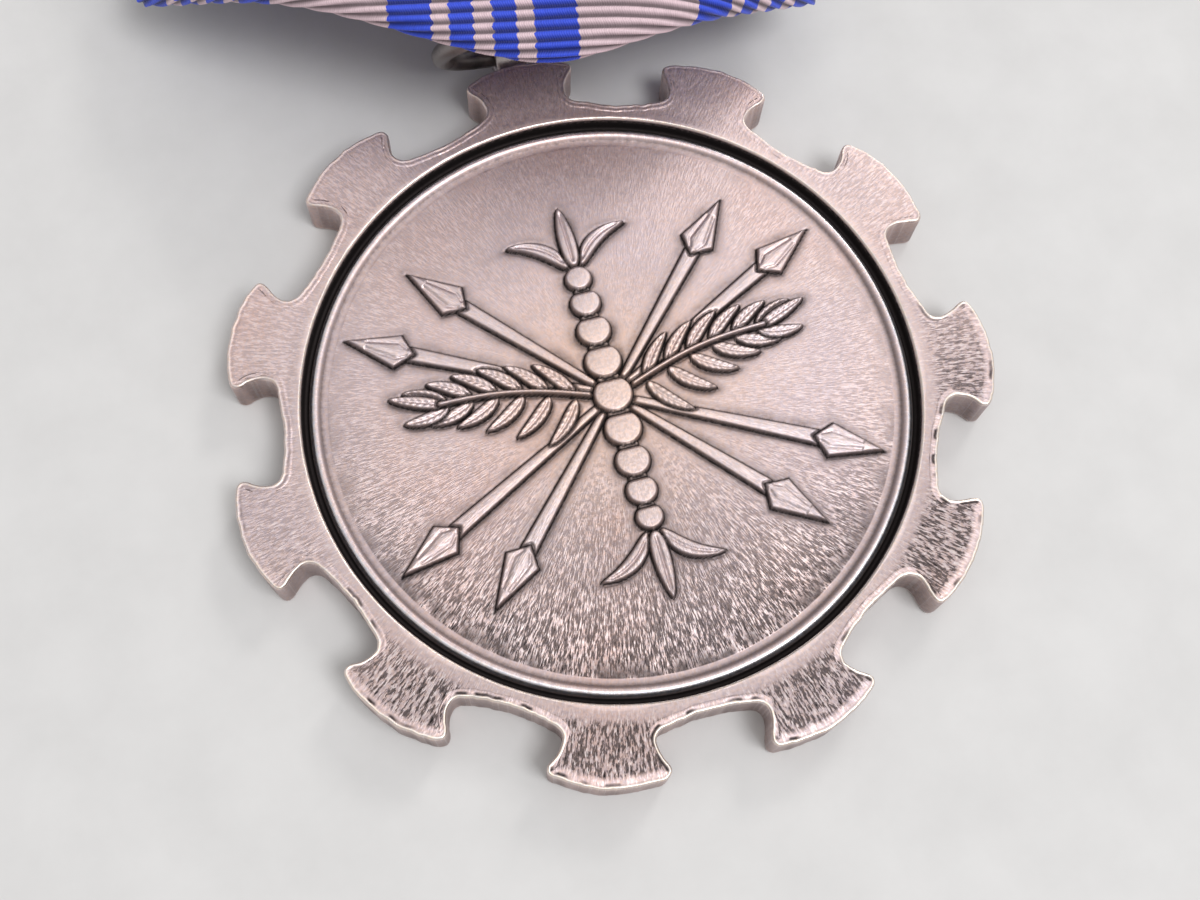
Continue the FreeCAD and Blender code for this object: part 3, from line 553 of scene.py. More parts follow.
def twill_tape():
    """herringbone tape: chevrons that meet at the middle line, with fine warp lines"""
    sh = Shader("loop_twill_tape")
    position = sh.object_metres()
    x, y, z = sh.separate(position)
    x = x * PER_METRE
    along = (y + z) * PER_METRE
    chevron = grey_wave(sh, sh.math("ABSOLUTE", x) + along, pitch=0.21)
    warp = sh.sine(x, pitch=0.12)
    mottle = sh.noise(sh.in_mm(position), scale=3.0, detail=3.0, roughness=0.6)
    stops = [(0.15, (0.26, 0.225, 0.23)), (0.55, (0.52, 0.465, 0.465)),
             (0.85, (0.66, 0.60, 0.60))]
    return sh.surface(
        Base_Color=sh.ramp(chevron * 0.65 + mottle * 0.35, stops),
        Roughness=0.75, Sheen_Weight=0.4,
        Normal=sh.bump(chevron * 0.8 + warp * 0.2, strength=0.7, distance=0.00005))


def pale_floor():
    sh = Shader("pale_floor")
    mottle = sh.noise(sh.object_metres(), scale=220.0, detail=4.0, roughness=0.6)
    stops = [(0.3, (0.60, 0.595, 0.59)), (0.7, (0.645, 0.64, 0.635))]
    return sh.surface(Base_Color=sh.ramp(mottle, stops), Roughness=0.85)


# ------------------------------------------------------------------ disc outline
def turn_clockwise(points, angle):
    points = np.asarray(points, float)
    x, y = points[..., 0], points[..., 1]
    c, s = math.cos(angle), math.sin(angle)
    return np.stack([x * c + y * s, -x * s + y * c], -1)


def half_lobe():
    """arcs from the top lobe's apex clockwise to the middle of the next notch"""
    apex_y, apex_radius = 17.45, 5.8
    horn_x, horn_y = 2.61, 16.62         # widest part of the lobe
    crown_x = horn_x - 0.42 * 0.80
    crown_y = apex_y - apex_radius + math.sqrt(apex_radius ** 2 - crown_x ** 2)
    horn = (horn_x - 0.02, (crown_y + horn_y) / 2 + 0.06)
    under_horn, waist, neck = (2.50, 16.34), (2.10, 15.84), (1.92, 15.42)
    # the notch's points lie round its own middle line
    notch_start, notch_side, notch_middle, notch_end = turn_clockwise(
        [(-1.75, 14.88), (-2.36, 15.06), (0, 14.70), (1.75, 14.88)], LOBE_ANGLE / 2)
    return [
        arc_through((-crown_x, crown_y), (0, apex_y), (crown_x, crown_y), 81)[40:],
        arc_through((crown_x, crown_y), horn, under_horn, 24)[1:],
        arc_through(under_horn, waist, neck, 24)[1:],
        arc_through(neck, notch_side, notch_start, 24)[1:],
        arc_through(notch_start, notch_middle, notch_end, 61)[1:31],
    ]


def dense_outline(half):
    """clockwise outline from the notch before the top lobe, and its inward normals"""
    lobe = np.concatenate([(half * [-1, 1])[::-1], half[1:]])
    corners = np.concatenate([turn_clockwise(lobe[:-1], k * LOBE_ANGLE) for k in range(LOBES)])
    closed = np.vstack([corners, corners[:1]])
    travelled = arc_length(closed)
    at = np.linspace(0, travelled[-1], OUTLINE_COUNT, endpoint=False)
    even = np.stack([np.interp(at, travelled, closed[:, 0]),
                     np.interp(at, travelled, closed[:, 1])], -1)
    # round off the small kinks between arcs
    reach = 48
    kernel = gaussian_kernel(reach, sigma=13.0)
    points = np.zeros_like(even)
    for k in range(-reach, reach + 1):
        points += kernel[k + reach] * np.roll(even, k, axis=0)
    tangent = unit(np.roll(points, -1, axis=0) - np.roll(points, 1, axis=0))
    inward = np.stack([tangent[:, 1], -tangent[:, 0]], -1)
    # the struck edge is a little ragged
    ragged = (0.060 * (point_noise(points, 0.42, 81, offset=40) - 0.35)
              + 0.030 * (point_noise(points, 0.16, 82, offset=40) - 0.4))
    return points + inward * ragged[:, None], inward


def lobe_map(arcs, half):
    """share of the half lobe's length against share of its angle, smoothed"""
    travelled = arc_length(half)
    arc_ends = np.cumsum([len(arc) for arc in arcs]) - 1
    mark_lengths = np.concatenate([[0], travelled[arc_ends]]) / travelled[-1]
    half_degrees = 360.0 / LOBES / 2
    mark_angles = np.array([0.0, 3.7, 4.9, 6.6, 9.2, half_degrees]) / half_degrees
    angles = np.linspace(0, 1, 400)
    lengths = np.interp(angles, mark_angles, mark_lengths)
    extended = np.concatenate([-lengths[24:0:-1], lengths, 2 - lengths[-2:-26:-1]])
    lengths = np.convolve(extended, gaussian_kernel(24, sigma=9.0), mode="valid")
    return angles, (lengths - lengths[0]) / (lengths[-1] - lengths[0])


lobe_arcs = half_lobe()
half_outline = np.concatenate(lobe_arcs)
OUTLINE, OUTLINE_INWARD = dense_outline(half_outline)
MAP_ANGLES, MAP_LENGTHS = lobe_map(lobe_arcs, half_outline)


def outline_index(phi):
    """clockwise angle from +Y to a fractional sample index on the outline"""
    lobe = np.round(phi / LOBE_ANGLE)
    offset = (phi - lobe * LOBE_ANGLE) / (LOBE_ANGLE / 2)      # -1..1 inside the lobe
    share = np.interp(np.abs(offset), MAP_ANGLES, MAP_LENGTHS) * np.sign(offset)
    half_count = SAMPLES_PER_LOBE // 2
    return (lobe * SAMPLES_PER_LOBE + half_count + share * half_count) % OUTLINE_COUNT


def sample_outline(values, index):
    before = np.floor(index).astype(int) % OUTLINE_COUNT
    after = (before + 1) % OUTLINE_COUNT
    share = (index - np.floor(index))[:, None]
    return values[before] * (1 - share) + values[after] * share


# ------------------------------------------------------------------ emblem relief
def segment_distance(x, y, a, b):
    dx, dy = b[0] - a[0], b[1] - a[1]
    t = np.clip(((x - a[0]) * dx + (y - a[1]) * dy) / (dx * dx + dy * dy), 0, 1)
    return np.hypot(x - a[0] - t * dx, y - a[1] - t * dy)


def polygon_distance(x, y, corners):
    """signed distance to a polygon, negative inside"""
    distance = np.full(x.shape, 1e9)
    inside = np.zeros(x.shape, bool)
    for a, b in zip(corners, corners[1:] + corners[:1]):
        distance = np.minimum(distance, segment_distance(x, y, a, b))
        crossing = (b[0] - a[0]) * (y - a[1]) / (b[1] - a[1] + 1e-12) + a[0]
        inside ^= ((a[1] > y) != (b[1] > y)) & (x < crossing)
    return np.where(inside, -distance, distance)


class Relief:
    """height of the tallest element and distance to the nearest element's outline"""

    def __init__(self, shape):
        self.height = np.zeros(shape)
        self.near = np.full(shape, 9.0)
        self.top = np.zeros(shape)           # 1 well inside an element

    def put(self, distance, height, edge, crown=0.0, crown_width=0.4, extra=0.0):
        """adds an element by its signed distance; edge is the width of its flank"""
        inside = distance < 0
        body = smooth01(-distance / edge + 0.15)
        z = height * body + crown * smooth01(-distance / crown_width) * inside
        z = z + extra * inside * smooth01(-distance / edge)
        # an element in front leaves a dark line over the ones behind it
        cut = bell(np.clip(distance, 0, None), 0.085) * (distance < 0.3)
        carved = np.minimum(self.height, 0.16) * cut * (z < self.height + 0.3)
        self.height = np.where(inside, np.maximum(z, self.height * (1 - body)),
                               self.height - carved)
        away = np.abs(distance)
        self.near = np.where(inside, np.minimum(away, 9.0), np.minimum(self.near, away))
        self.top = np.where(inside, smooth01(-distance / 0.20), self.top * (1 - cut))


def leaf_shape(x, y, leaf, fullness, taper, rib_depth, rib_width, rib_start):
    """signed distance, place along (0..1), place across, length and sunk midrib of a leaf.

    leaf: root x, root y, reach x, reach y, width, bend of the spine
    """
    root_x, root_y, reach_x, reach_y, width, bend = leaf
    length = math.hypot(reach_x, reach_y)
    ux, uy = reach_x / length, reach_y / length
    t = ((x - root_x) * ux + (y - root_y) * uy) / length
    across = -(x - root_x) * uy + (y - root_y) * ux - bend * 4 * t * (1 - t)
    along = np.clip(t, 0, 1)
    bulge = np.sqrt(np.clip(np.sin(np.pi * along ** fullness), 0, 1))
    half_width = width / 2 * bulge * (1 - taper * along)
    beyond = np.where(t < 0, -t, t - 1) * length
    distance = np.where((t > 0) & (t < 1), np.abs(across) - half_width,
                        np.hypot(np.abs(across), beyond))
    rib = (-rib_depth * bell(across, rib_width) * smooth01((along - rib_start) / 0.1)
           * smooth01((0.93 - along) / 0.1))
    return distance, along, across, length, rib


def put_rays(relief, x, y):
    """eight faceted rays in four diagonal pairs, each with a lozenge head"""
    start, head_length, tail_length, head_half = 0.4, 2.55, 0.80, 0.84
    root_half, end_half = 0.20, 0.40
    for tip_x, tip_y in ((7.6, 8.2), (11.1, 5.7)):
        length = math.hypot(tip_x, tip_y)
        ux, uy = tip_x / length, tip_y / length
        u, v = x * ux + y * uy, -x * uy + y * ux
        shaft_end = length - 2.7
        shaft = polygon_distance(u, v, [(start, -root_half), (shaft_end, -end_half),
                                        (shaft_end, end_half), (start, root_half)])
        half = root_half + (end_half - root_half) * np.clip(
            (u - start) / (shaft_end - start), 0, 1)
        ridge = 0.035 * np.clip(1 - np.abs(v) / np.maximum(half, 0.05), 0, 1)
        relief.put(shaft, height=0.22, edge=0.095, extra=ridge)
        widest = length - head_length
        tail = widest - tail_length
        head = polygon_distance(u, v, [(tail, 0.0), (widest, -head_half), (length, 0.0),
                                       (widest, head_half)])
        half = np.where(u > widest, head_half * (length - u) / head_length,
                        head_half * (u - tail) / tail_length)
        ridge = 0.09 * np.clip(1 - np.abs(v) / np.maximum(half, 0.05), 0, 1)
        groove = -0.09 * bell(np.abs(v) - 0.45 * half, 0.06) * (half > 0.35)
        relief.put(head, height=0.24, edge=0.095, extra=ridge + groove)


def put_sprays(relief, x, y):
    """a leaf spray on each side: a bowed stem with six pairs of leaves and an end leaf"""
    def bow(t):
        return 0.25 + 0.35 * math.sin(t * math.pi)

    leaves = []
    for i in range(6):
        t = i / 5.0
        root_x, root_y = 1.55 + 5.6 * t, bow(t) + 1.15 * t
        length = 2.5 - 0.35 * t
        for angle, lift, bend in ((math.radians(-46 + 38 * t), -0.06, -0.16),
                                  (math.radians(52 - 26 * t), 0.12, 0.16)):
            leaves.append((root_x + 0.10, root_y + lift, length * math.cos(angle),
                           length * math.sin(angle), 0.72, bend))
    leaves.append((7.5, 1.52, 2.3, 0.85, 0.70, 0.0))
    for leaf in leaves:
        distance, along, across, length, rib = leaf_shape(
            x, y, leaf, fullness=0.78, taper=0.15, rib_depth=0.13, rib_width=0.055,
            rib_start=0.04)
        vein_wave = np.sin((along * length * 2.0 - np.abs(across) * 2.4) * 2 * np.pi / 0.62)
        veins = -0.035 * (0.5 + 0.5 * vein_wave) * smooth01(np.abs(across) / 0.08)
        relief.put(distance, height=0.26 + 0.05 * along, edge=0.10, crown=0.035,
                   crown_width=0.3, extra=rib + veins)
    stem = [(1.0 + 6.6 * t, bow(t) + 1.30 * t) for t in (i / 24.0 for i in range(25))]
    distance = np.full(x.shape, 9.0)
    for a, b in zip(stem[:-1], stem[1:]):
        distance = np.minimum(distance, segment_distance(x, y, a, b))
    relief.put(distance - 0.15, height=0.34, edge=0.10, crown=0.05, crown_width=0.15)


def put_palmettes(relief, x, y):
    """three leaves at each end of the baton: two bowed outwards and a straight one"""
    for leaf in ((0.30, 6.55, 2.55, 1.65, 0.86, 0.42), (0.0, 6.5, 0.0, 3.15, 0.98, 0.0)):
        distance, _, _, _, rib = leaf_shape(
            x, y, leaf, fullness=0.85, taper=0.25, rib_depth=0.14, rib_width=0.06,
            rib_start=0.05)
        relief.put(distance, height=0.30, edge=0.11, crown=0.04, crown_width=0.35, extra=rib)


def put_baton(relief, x, y):
    """upright row of beads with fine collars between them"""
    length = 13.0
    beads = [0.62, 0.70, 0.78, 0.84, 0.88, 0.84, 0.78, 0.70, 0.62]     # bead radii
    gap = (length - 2 * sum(beads)) / (len(beads) - 1)
    at_y = -length / 2
    for i, radius in enumerate(beads):
        at_y += radius
        distance = np.hypot(x / 1.06, y - at_y) - radius
        from_middle = np.hypot(x, y - at_y) / (radius * 1.05)
        dome = 0.085 * np.sqrt(np.clip(1 - from_middle ** 2, 0, 1))
        relief.put(distance, height=0.34, edge=0.11, extra=dome)
        at_y += radius
        if i < len(beads) - 1:
            collar_half = min(radius, beads[i + 1]) * 0.62
            distance = np.maximum(np.abs(x) - collar_half, np.abs(y - (at_y + gap / 2)) - 0.13)
            relief.put(distance, height=0.34, edge=0.08, crown=0.04, crown_width=0.12)
        at_y += gap


def emblem(x, y):
    """the whole emblem, back to front; mirrored pieces are drawn in absolute coordinates"""
    relief = Relief(x.shape)
    put_rays(relief, np.abs(x), np.abs(y))
    put_sprays(relief, np.abs(x), y)
    put_palmettes(relief, np.abs(x), np.abs(y))
    put_baton(relief, x, y)
    return relief


# ------------------------------------------------------------------ planchet
def lower_side(x, y, lean, shift, span):
    """0 towards the top of the disc, 1 towards the bottom; the metal is made darker and more
    grained towards the bottom
    """
    return smooth01((-y + lean * x + shift) / span)


def circle(phi, radius):
    """points at clockwise angles from +Y"""
    return np.stack([radius * np.sin(phi), radius * np.cos(phi)], -1)


def struck_field():
    """vertices of the sunk field with the emblem, and their patina, wear and painted highlight,
    and grain
    """
    side = np.linspace(-1, 1, FIELD_CELLS + 1)
    a, b = np.meshgrid(side, side, indexing="xy")
    # square lattice pressed into a disc
    x = (a * np.sqrt(1 - b * b / 2) * FIELD_RADIUS).ravel()
    y = (b * np.sqrt(1 - a * a / 2) * FIELD_RADIUS).ravel()
    relief = emblem(x, y)
    near, on = relief.near, relief.height > 0.05
    r = np.hypot(x, y)
    dome = FIELD_DOME * np.clip(1 - (r / 12.9) ** 2, 0, 1)
    ripple = (0.012 * (lattice_noise(x, y, 2.3, 3) - 0.5)
              + 0.008 * (lattice_noise(x, y, 0.55, 5) - 0.5))
    moat = 0.05 * bell(near, 0.10) * (relief.height < 0.03)
    z = FIELD_Z + dome + ripple + relief.height - moat

    # oxide in the outlines, a halo on the field round them, and deep places on the relief
    halo = 0.42 * bell(near, 0.42) * (~on) * (0.55 + 0.9 * lattice_noise(x, y, 0.8, 9))
    patina = np.maximum(1.05 * bell(near, 0.080), halo)
    patina = np.maximum(patina, np.where(on, 0.9 * bell(near, 0.10), 0))
    low = lower_side(x, y, lean=-0.14, shift=2.6, span=14.0)
    edge_dark = (0.32 + 0.68 * low) * smooth01((r - 11.5) / 1.3)
    blotches = np.clip(1.25 * lattice_noise(x, y, 0.55, 12) - 0.10, 0, 0.78)
    patina = np.where(on, patina, np.maximum(patina, edge_dark * blotches))
    wear_and_highlight = np.where(on, 0.13 * relief.top, 0.0)
    grain = np.where(on, 0.24 + 0.30 * low, 0.26 + 0.62 * low + 0.12 * smooth01((r - 9) / 4))
    return np.stack([x, y, z], -1), np.stack([patina, wear_and_highlight, np.clip(grain, 0, 1)], -1)


class RingStack:
    """closed rings of vertices, each with patina, wear and painted highlight, and grain"""

    def __init__(self, count):
        self.count = count
        self.verts = []
        self.finish = []

    def add(self, xy, z, patina, wear_and_highlight, grain):
        self.verts.append(np.column_stack([xy, np.broadcast_to(z, self.count)]))
        self.finish.append(np.column_stack([
            np.clip(np.broadcast_to(v, self.count), 0, 1) for v in (patina, wear_and_highlight, grain)]))


# raised ring and the groove outside it: radius, height over the field, patina, wear and painted
# highlight; the bright rows on the ring's outer slope and at the rim's inner edge are painted
# highlight lines
RAISED_RING = [
    (12.78, 0.00, 0.20, 0.0), (12.90, 0.005, 0.28, 0.0), (13.00, 0.02, 0.50, 0.0),
    (13.07, 0.05, 0.62, 0.0), (13.13, 0.10, 0.40, 0.0), (13.18, 0.145, 0.12, 0.05),
    (13.24, 0.18, 0.0, 0.1), (13.31, 0.195, 0.0, 0.15), (13.38, 0.185, 0.0, 0.8),
    (13.43, 0.16, 0.0, 1.0), (13.48, 0.12, 0.0, 1.0), (13.53, 0.06, 0.0, 0.8),
    (13.57, -0.01, 0.50, 0.1), (13.61, -0.08, 1.0, 0.0), (13.65, -0.17, 1.0, 0.0),
    (13.70, -0.20, 1.0, 0.0), (13.77, -0.20, 1.0, 0.0), (13.83, -0.16, 1.0, 0.0),
    (13.865, -0.04, 1.0, 0.0), (13.88, 0.20, 1.0, 0.0), (13.895, 0.38, 0.90, 0.0),
    (13.912, 0.465, 0.30, 0.4), (13.93, 0.51, 0.0, 1.0), (13.97, 0.538, 0.0, 0.9),
    (RIM_RADIUS, 0.545, 0.0, 0.2),
]
# front border along the outline: distance inwards, height over the face, patina, wear and painted
# highlight; the bright rows are a rubbed burr line with a painted highlight
FRONT_BORDER = [
    (RIM_MARGIN, 0.0, 0.10, 0.00), (0.29, -0.004, 0.25, 0.0), (0.24, -0.016, 0.75, 0.0),
    (0.20, -0.028, 1.0, 0.0), (0.165, -0.018, 0.85, 0.1), (0.13, 0.006, 0.25, 0.6),
    (0.10, 0.016, 0.0, 1.0), (0.07, 0.010, 0.0, 1.0), (0.04, -0.022, 0.0, 0.8),
    (0.018, -0.06, 0.05, 0.5), (0.004, -0.12, 0.15, 0.25),
]
# side wall: z, distance inwards, patina
SIDE_WALL = [
    (THICKNESS - 0.20, 0.0, 0.25), (THICKNESS - 0.5, 0.0, 0.35), (THICKNESS - 0.9, 0.004, 0.42),
    (1.2, 0.006, 0.48), (0.8, 0.004, 0.5), (0.4, 0.0, 0.5), (0.22, 0.0, 0.45),
]
# back border along the outline: distance inwards, z
BACK_BORDER = [(0.012, 0.12), (0.04, 0.05), (0.09, 0.012), (0.16, 0.0), (RIM_MARGIN, 0.0)]
# groove in the back: radius, z, patina, wear and painted highlight
BACK_GROOVE = [
    (14.0, 0.0, 0.1, 0.5), (13.92, 0.01, 0.3, 0.6), (13.86, 0.10, 0.9, 0), (13.80, 0.22, 1, 0),
    (13.70, 0.25, 1, 0), (13.50, 0.25, 1, 0), (13.40, 0.22, 1, 0), (13.34, 0.10, 0.9, 0),
    (13.28, 0.01, 0.3, 0.6), (13.20, 0.0, 0.1, 0.4),
]
BACK_RADII = (12.4, 11.4, 10.4, 9.4, 8.4, 7.4, 6.4, 5.4, 4.4, 3.4, 2.4, 1.4, 0.6)


def add_raised_ring(rings, phi):
    middle = circle(phi, 13.5)
    noise = point_noise(middle, 0.5, 21, offset=50)
    fine = point_noise(middle, 0.25, 22, offset=50)
    for radius, rise, patina, wear_and_highlight in RAISED_RING:
        calm = 0.15 if patina > 0.8 else 1.0
        rings.add(circle(phi, radius + 0.012 * calm * (noise - 0.5)),
                  FIELD_Z + rise + 0.012 * calm * (fine - 0.5),
                  patina, wear_and_highlight * (0.75 + 0.4 * noise), 0.1)


def add_rim_face(rings, inner, outer):
    """flat face between the round groove and the border along the lobes"""
    for i in range(1, RIM_STEPS + 1):
        t = i / (RIM_STEPS + 1.0)
        xy = inner * (1 - t) + outer * t
        r = np.hypot(xy[:, 0], xy[:, 1])
        z = (THICKNESS - 0.018 * bell(r - 14.6, 0.5)
             + 0.012 * (point_noise(xy, 1.3, 41) - 0.5)
             + 0.006 * (point_noise(xy, 0.4, 42) - 0.5))
        near_groove = bell(r - 14.0, 0.28)
        low = lower_side(xy[:, 0], xy[:, 1], lean=0.18, shift=4.0, span=16.0)
        grain = 0.30 + 0.70 * low * smooth01((r - 14.2) / 0.8) + 0.1
        rings.add(xy, z, 0.06 + 0.30 * low, 0.10 * near_groove,
                  grain * (1 - 0.5 * near_groove))


def add_edge(rings, edge, inward):
    """front border, side wall and back border along the lobed outline"""
    ragged = point_noise(edge, 0.35, 31, offset=40)
    fine = point_noise(edge, 0.12, 32, offset=40)
    long_noise = point_noise(edge, 1.6, 33, offset=40)
    low = lower_side(edge[:, 0], edge[:, 1], lean=0.18, shift=6.0, span=16.0)
    broken = (smooth01((ragged - 0.40) / 0.25) * (0.25 + 0.75 * low)
              * smooth01((long_noise - 0.25) / 0.3))
    for depth, rise, patina, wear_and_highlight in FRONT_BORDER:
        wander = (0.045 * (ragged - 0.5) + 0.02 * (fine - 0.5)) * smooth01((depth - 0.05) / 0.1)
        if depth > 0.05:
            z = THICKNESS + rise * (0.35 + 0.9 * broken)
        else:
            z = THICKNESS + rise - 0.02 * fine
        rings.add(edge + inward * (depth + wander)[:, None], z, patina * broken,
                  wear_and_highlight * (0.45 + 0.5 * low + 0.25 * fine), 0.35 * (1 - wear_and_highlight))
    for z, depth, patina in SIDE_WALL:
        rings.add(edge + inward * (depth + 0.012 * (fine[:, None] - 0.5)), z,
                  patina * (0.6 + 0.8 * ragged), 0.1, 0.5)
    for depth, z in BACK_BORDER:
        rings.add(edge + inward * depth, z, 0.2 * ragged, 0.35, 0.3)


def add_back(rings, phi, inner, outer):
    for i in range(5, 0, -1):
        t = i / 6.0
        xy = inner * (1 - t) + outer * t
        rings.add(xy, 0.0, 0.15 + 0.25 * point_noise(xy, 0.8, 51), 0.1, 0.45)
    for radius, z, patina, wear_and_highlight in BACK_GROOVE:
        rings.add(circle(phi, radius), z, patina, wear_and_highlight, 0.2)
    for radius in BACK_RADII:
        xy = circle(phi, radius)
        patina = 0.12 + 0.35 * lattice_noise(xy[:, 0] + 9, xy[:, 1], 1.4, 61) ** 2
        rings.add(xy, 0.0, patina, 0.08, 0.55)


def build_planchet():
    field_verts, field_finish = struck_field()
    side = FIELD_CELLS + 1
    field_count = side ** 2
    lattice = np.arange(field_count).reshape(side, side)
    # boundary of the lattice, clockwise from its top left corner
    border = np.concatenate([lattice[-1, :-1], lattice[:0:-1, -1],
                             lattice[0, :0:-1], lattice[:-1, 0]])
    count = len(border)
    phi = np.arctan2(field_verts[border, 0], field_verts[border, 1])

    index = outline_index(phi)
    edge = sample_outline(OUTLINE, index)
    inward = unit(sample_outline(OUTLINE_INWARD, index))
    inner, outer = circle(phi, RIM_RADIUS), edge + inward * RIM_MARGIN
    rings = RingStack(count)
    add_raised_ring(rings, phi)
    add_rim_face(rings, inner, outer)
    add_edge(rings, edge, inward)
    add_back(rings, phi, inner, outer)

    # join the lattice to the first ring, then ring to ring, then close the back
    ring_count = len(rings.verts)
    j = np.arange(count)
    jn = (j + 1) % count
    seam = np.stack([border[j], border[jn], field_count + jn, field_count + j], -1)[:, ::-1]
    quads = np.concatenate([grid_quads(side, side), seam,
                            grid_quads(ring_count, count, wrap=True, base=field_count,
                                       flip=True)])
    tris = fan(field_count + (ring_count - 1) * count, count,
               field_count + ring_count * count)[:, ::-1]
    verts = np.concatenate([field_verts, *rings.verts, [[0, 0, 0]]])
    finish = np.concatenate([field_finish, *rings.finish, [[0.2, 0.2, 0.2]]])
    obj = mesh_object("planchet_struck", verts, quads, tris, attributes={
        "patina": finish[:, 0], "wear_and_highlight": finish[:, 1], "grain": finish[:, 2]})
    fix_normals(obj)
    return obj


planchet = build_planchet()
set_material(planchet, antique_silver())
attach(planchet, "medal")
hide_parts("planchet")


# ------------------------------------------------------------------ ribbon
def askew(points):
    """ribbon frame to the medal's frame: the ribbon hangs a little turned and shifted"""
    points = np.asarray(points, float)
    x, y = points[..., 0], points[..., 1] - FOLD_Y
    c, s = math.cos(RIBBON_TURN), math.sin(RIBBON_TURN)
    return np.stack([RIBBON_SHIFT[0] + x * c - y * s, RIBBON_SHIFT[1] + x * s + y * c,
                     points[..., 2]], -1)


# side view of the drape: y, z from the fold to the bend next to the brooch
DRAPE = arc_through((FOLD_Y, FOLD_Z), (32.0, 9.5), (BEND_Y, BEND_Z), 400)
DRAPE_S = arc_length(DRAPE)
DRAPE_TANGENT = unit(np.gradient(DRAPE, axis=0))
DRAPE_LENGTH = DRAPE_S[-1]


def drape_at(s):
    """y, z and tangent on the drape; runs on along +Y past its end"""
    over = np.clip(s - DRAPE_LENGTH, 0, None)
    y = np.interp(s, DRAPE_S, DRAPE[:, 0]) + over
    z = np.interp(s, DRAPE_S, DRAPE[:, 1])
    tangent_y = np.where(over > 0, 1.0, np.interp(s, DRAPE_S, DRAPE_TANGENT[:, 0]))
    tangent_z = np.where(over > 0, 0.0, np.interp(s, DRAPE_S, DRAPE_TANGENT[:, 1]))
    return y, z, tangent_y, tangent_z


def half_gap(s):
    return FOLD_GAP + (BROOCH_GAP - FOLD_GAP) * smooth01(s / 7.5)


def fold_start(x):
    """how far up the drape the fold lies: a shallow V with a soft point right of the middle"""
    point_x, softness = 2.85, 2.5
    away = np.sqrt((x - point_x) ** 2 + softness ** 2) - softness
    return np.where(x < point_x, 0.41, 0.46) * away


def integrated(values, step):
    return np.concatenate([[0], np.cumsum(values * step)])


# curve of the cloth's width: distance from the middle, slope angle, x and drop
CROWN_U = np.linspace(-RIBBON_HALF_WIDTH - 0.3, RIBBON_HALF_WIDTH + 0.3, 721)
CROWN_ANGLE = math.radians(36.0) * smooth01((np.abs(CROWN_U) - 3.3) / 9.7) * np.sign(CROWN_U)
crown_mid = (CROWN_ANGLE[1:] + CROWN_ANGLE[:-1]) / 2
crown_step = CROWN_U[1] - CROWN_U[0]
CROWN_X = integrated(np.cos(crown_mid), crown_step)
CROWN_X -= np.interp(0, CROWN_U, CROWN_X)
CROWN_DROP = integrated(np.sin(crown_mid), crown_step)
CROWN_DROP -= np.interp(0, CROWN_U, CROWN_DROP)


def crowned(x, y, z):
    """the cloth crowns across its width over the disc and is flat at the brooch"""
    share = 1.0 - smooth01((y - FOLD_Y - 8.0) / 26.0)
    centre_z = np.interp(y, DRAPE[:, 0], DRAPE[:, 1])
    above = z - centre_z
    angle = np.interp(x, CROWN_U, CROWN_ANGLE) * share
    crown_x = x + (np.interp(x, CROWN_U, CROWN_X) - x) * share + above * np.sin(angle)
    crown_z = centre_z - np.interp(x, CROWN_U, CROWN_DROP) * share + above * np.cos(angle)
    return np.stack([crown_x, y, crown_z], -1)


def sleeve_path():
    """y, z of the cloth's outer face from the front of the drape round the bar to its back"""
    y0, y1, z0, z1, r = 53.65, 58.75, 5.20, 7.70, 0.80       # sleeve box and corner radius
    front_z, back_z = BEND_Z + BROOCH_GAP, BEND_Z - BROOCH_GAP
    path = [(BEND_Y + 0.02, front_z), (53.1, front_z), (53.55, front_z + 0.10),
            (53.95, front_z + 0.42), (54.45, z1 - 0.03)]
    path += [(y, z1 + 0.02 * math.sin((y - 54.5) / 3.4 * math.pi))
             for y in np.linspace(54.9, y1 - r, 8)]
    path += [(y1 - r + r * math.sin(t), z1 - r + r * math.cos(t))
             for t in np.linspace(0.2, math.pi / 2, 7)]
    path += [(y1, (z0 + z1) / 2)]
    path += [(y1 - r + r * math.cos(t), z0 + r - r * math.sin(t))
             for t in np.linspace(0.0, math.pi / 2, 7)]
    path += [(y, z0) for y in np.linspace(y1 - r - 0.4, y0 + r, 8)]
    path += [(54.0, z0 + 0.08), (53.6, z0 + 0.38), (53.15, back_z - 0.02)]
    return np.array(path)


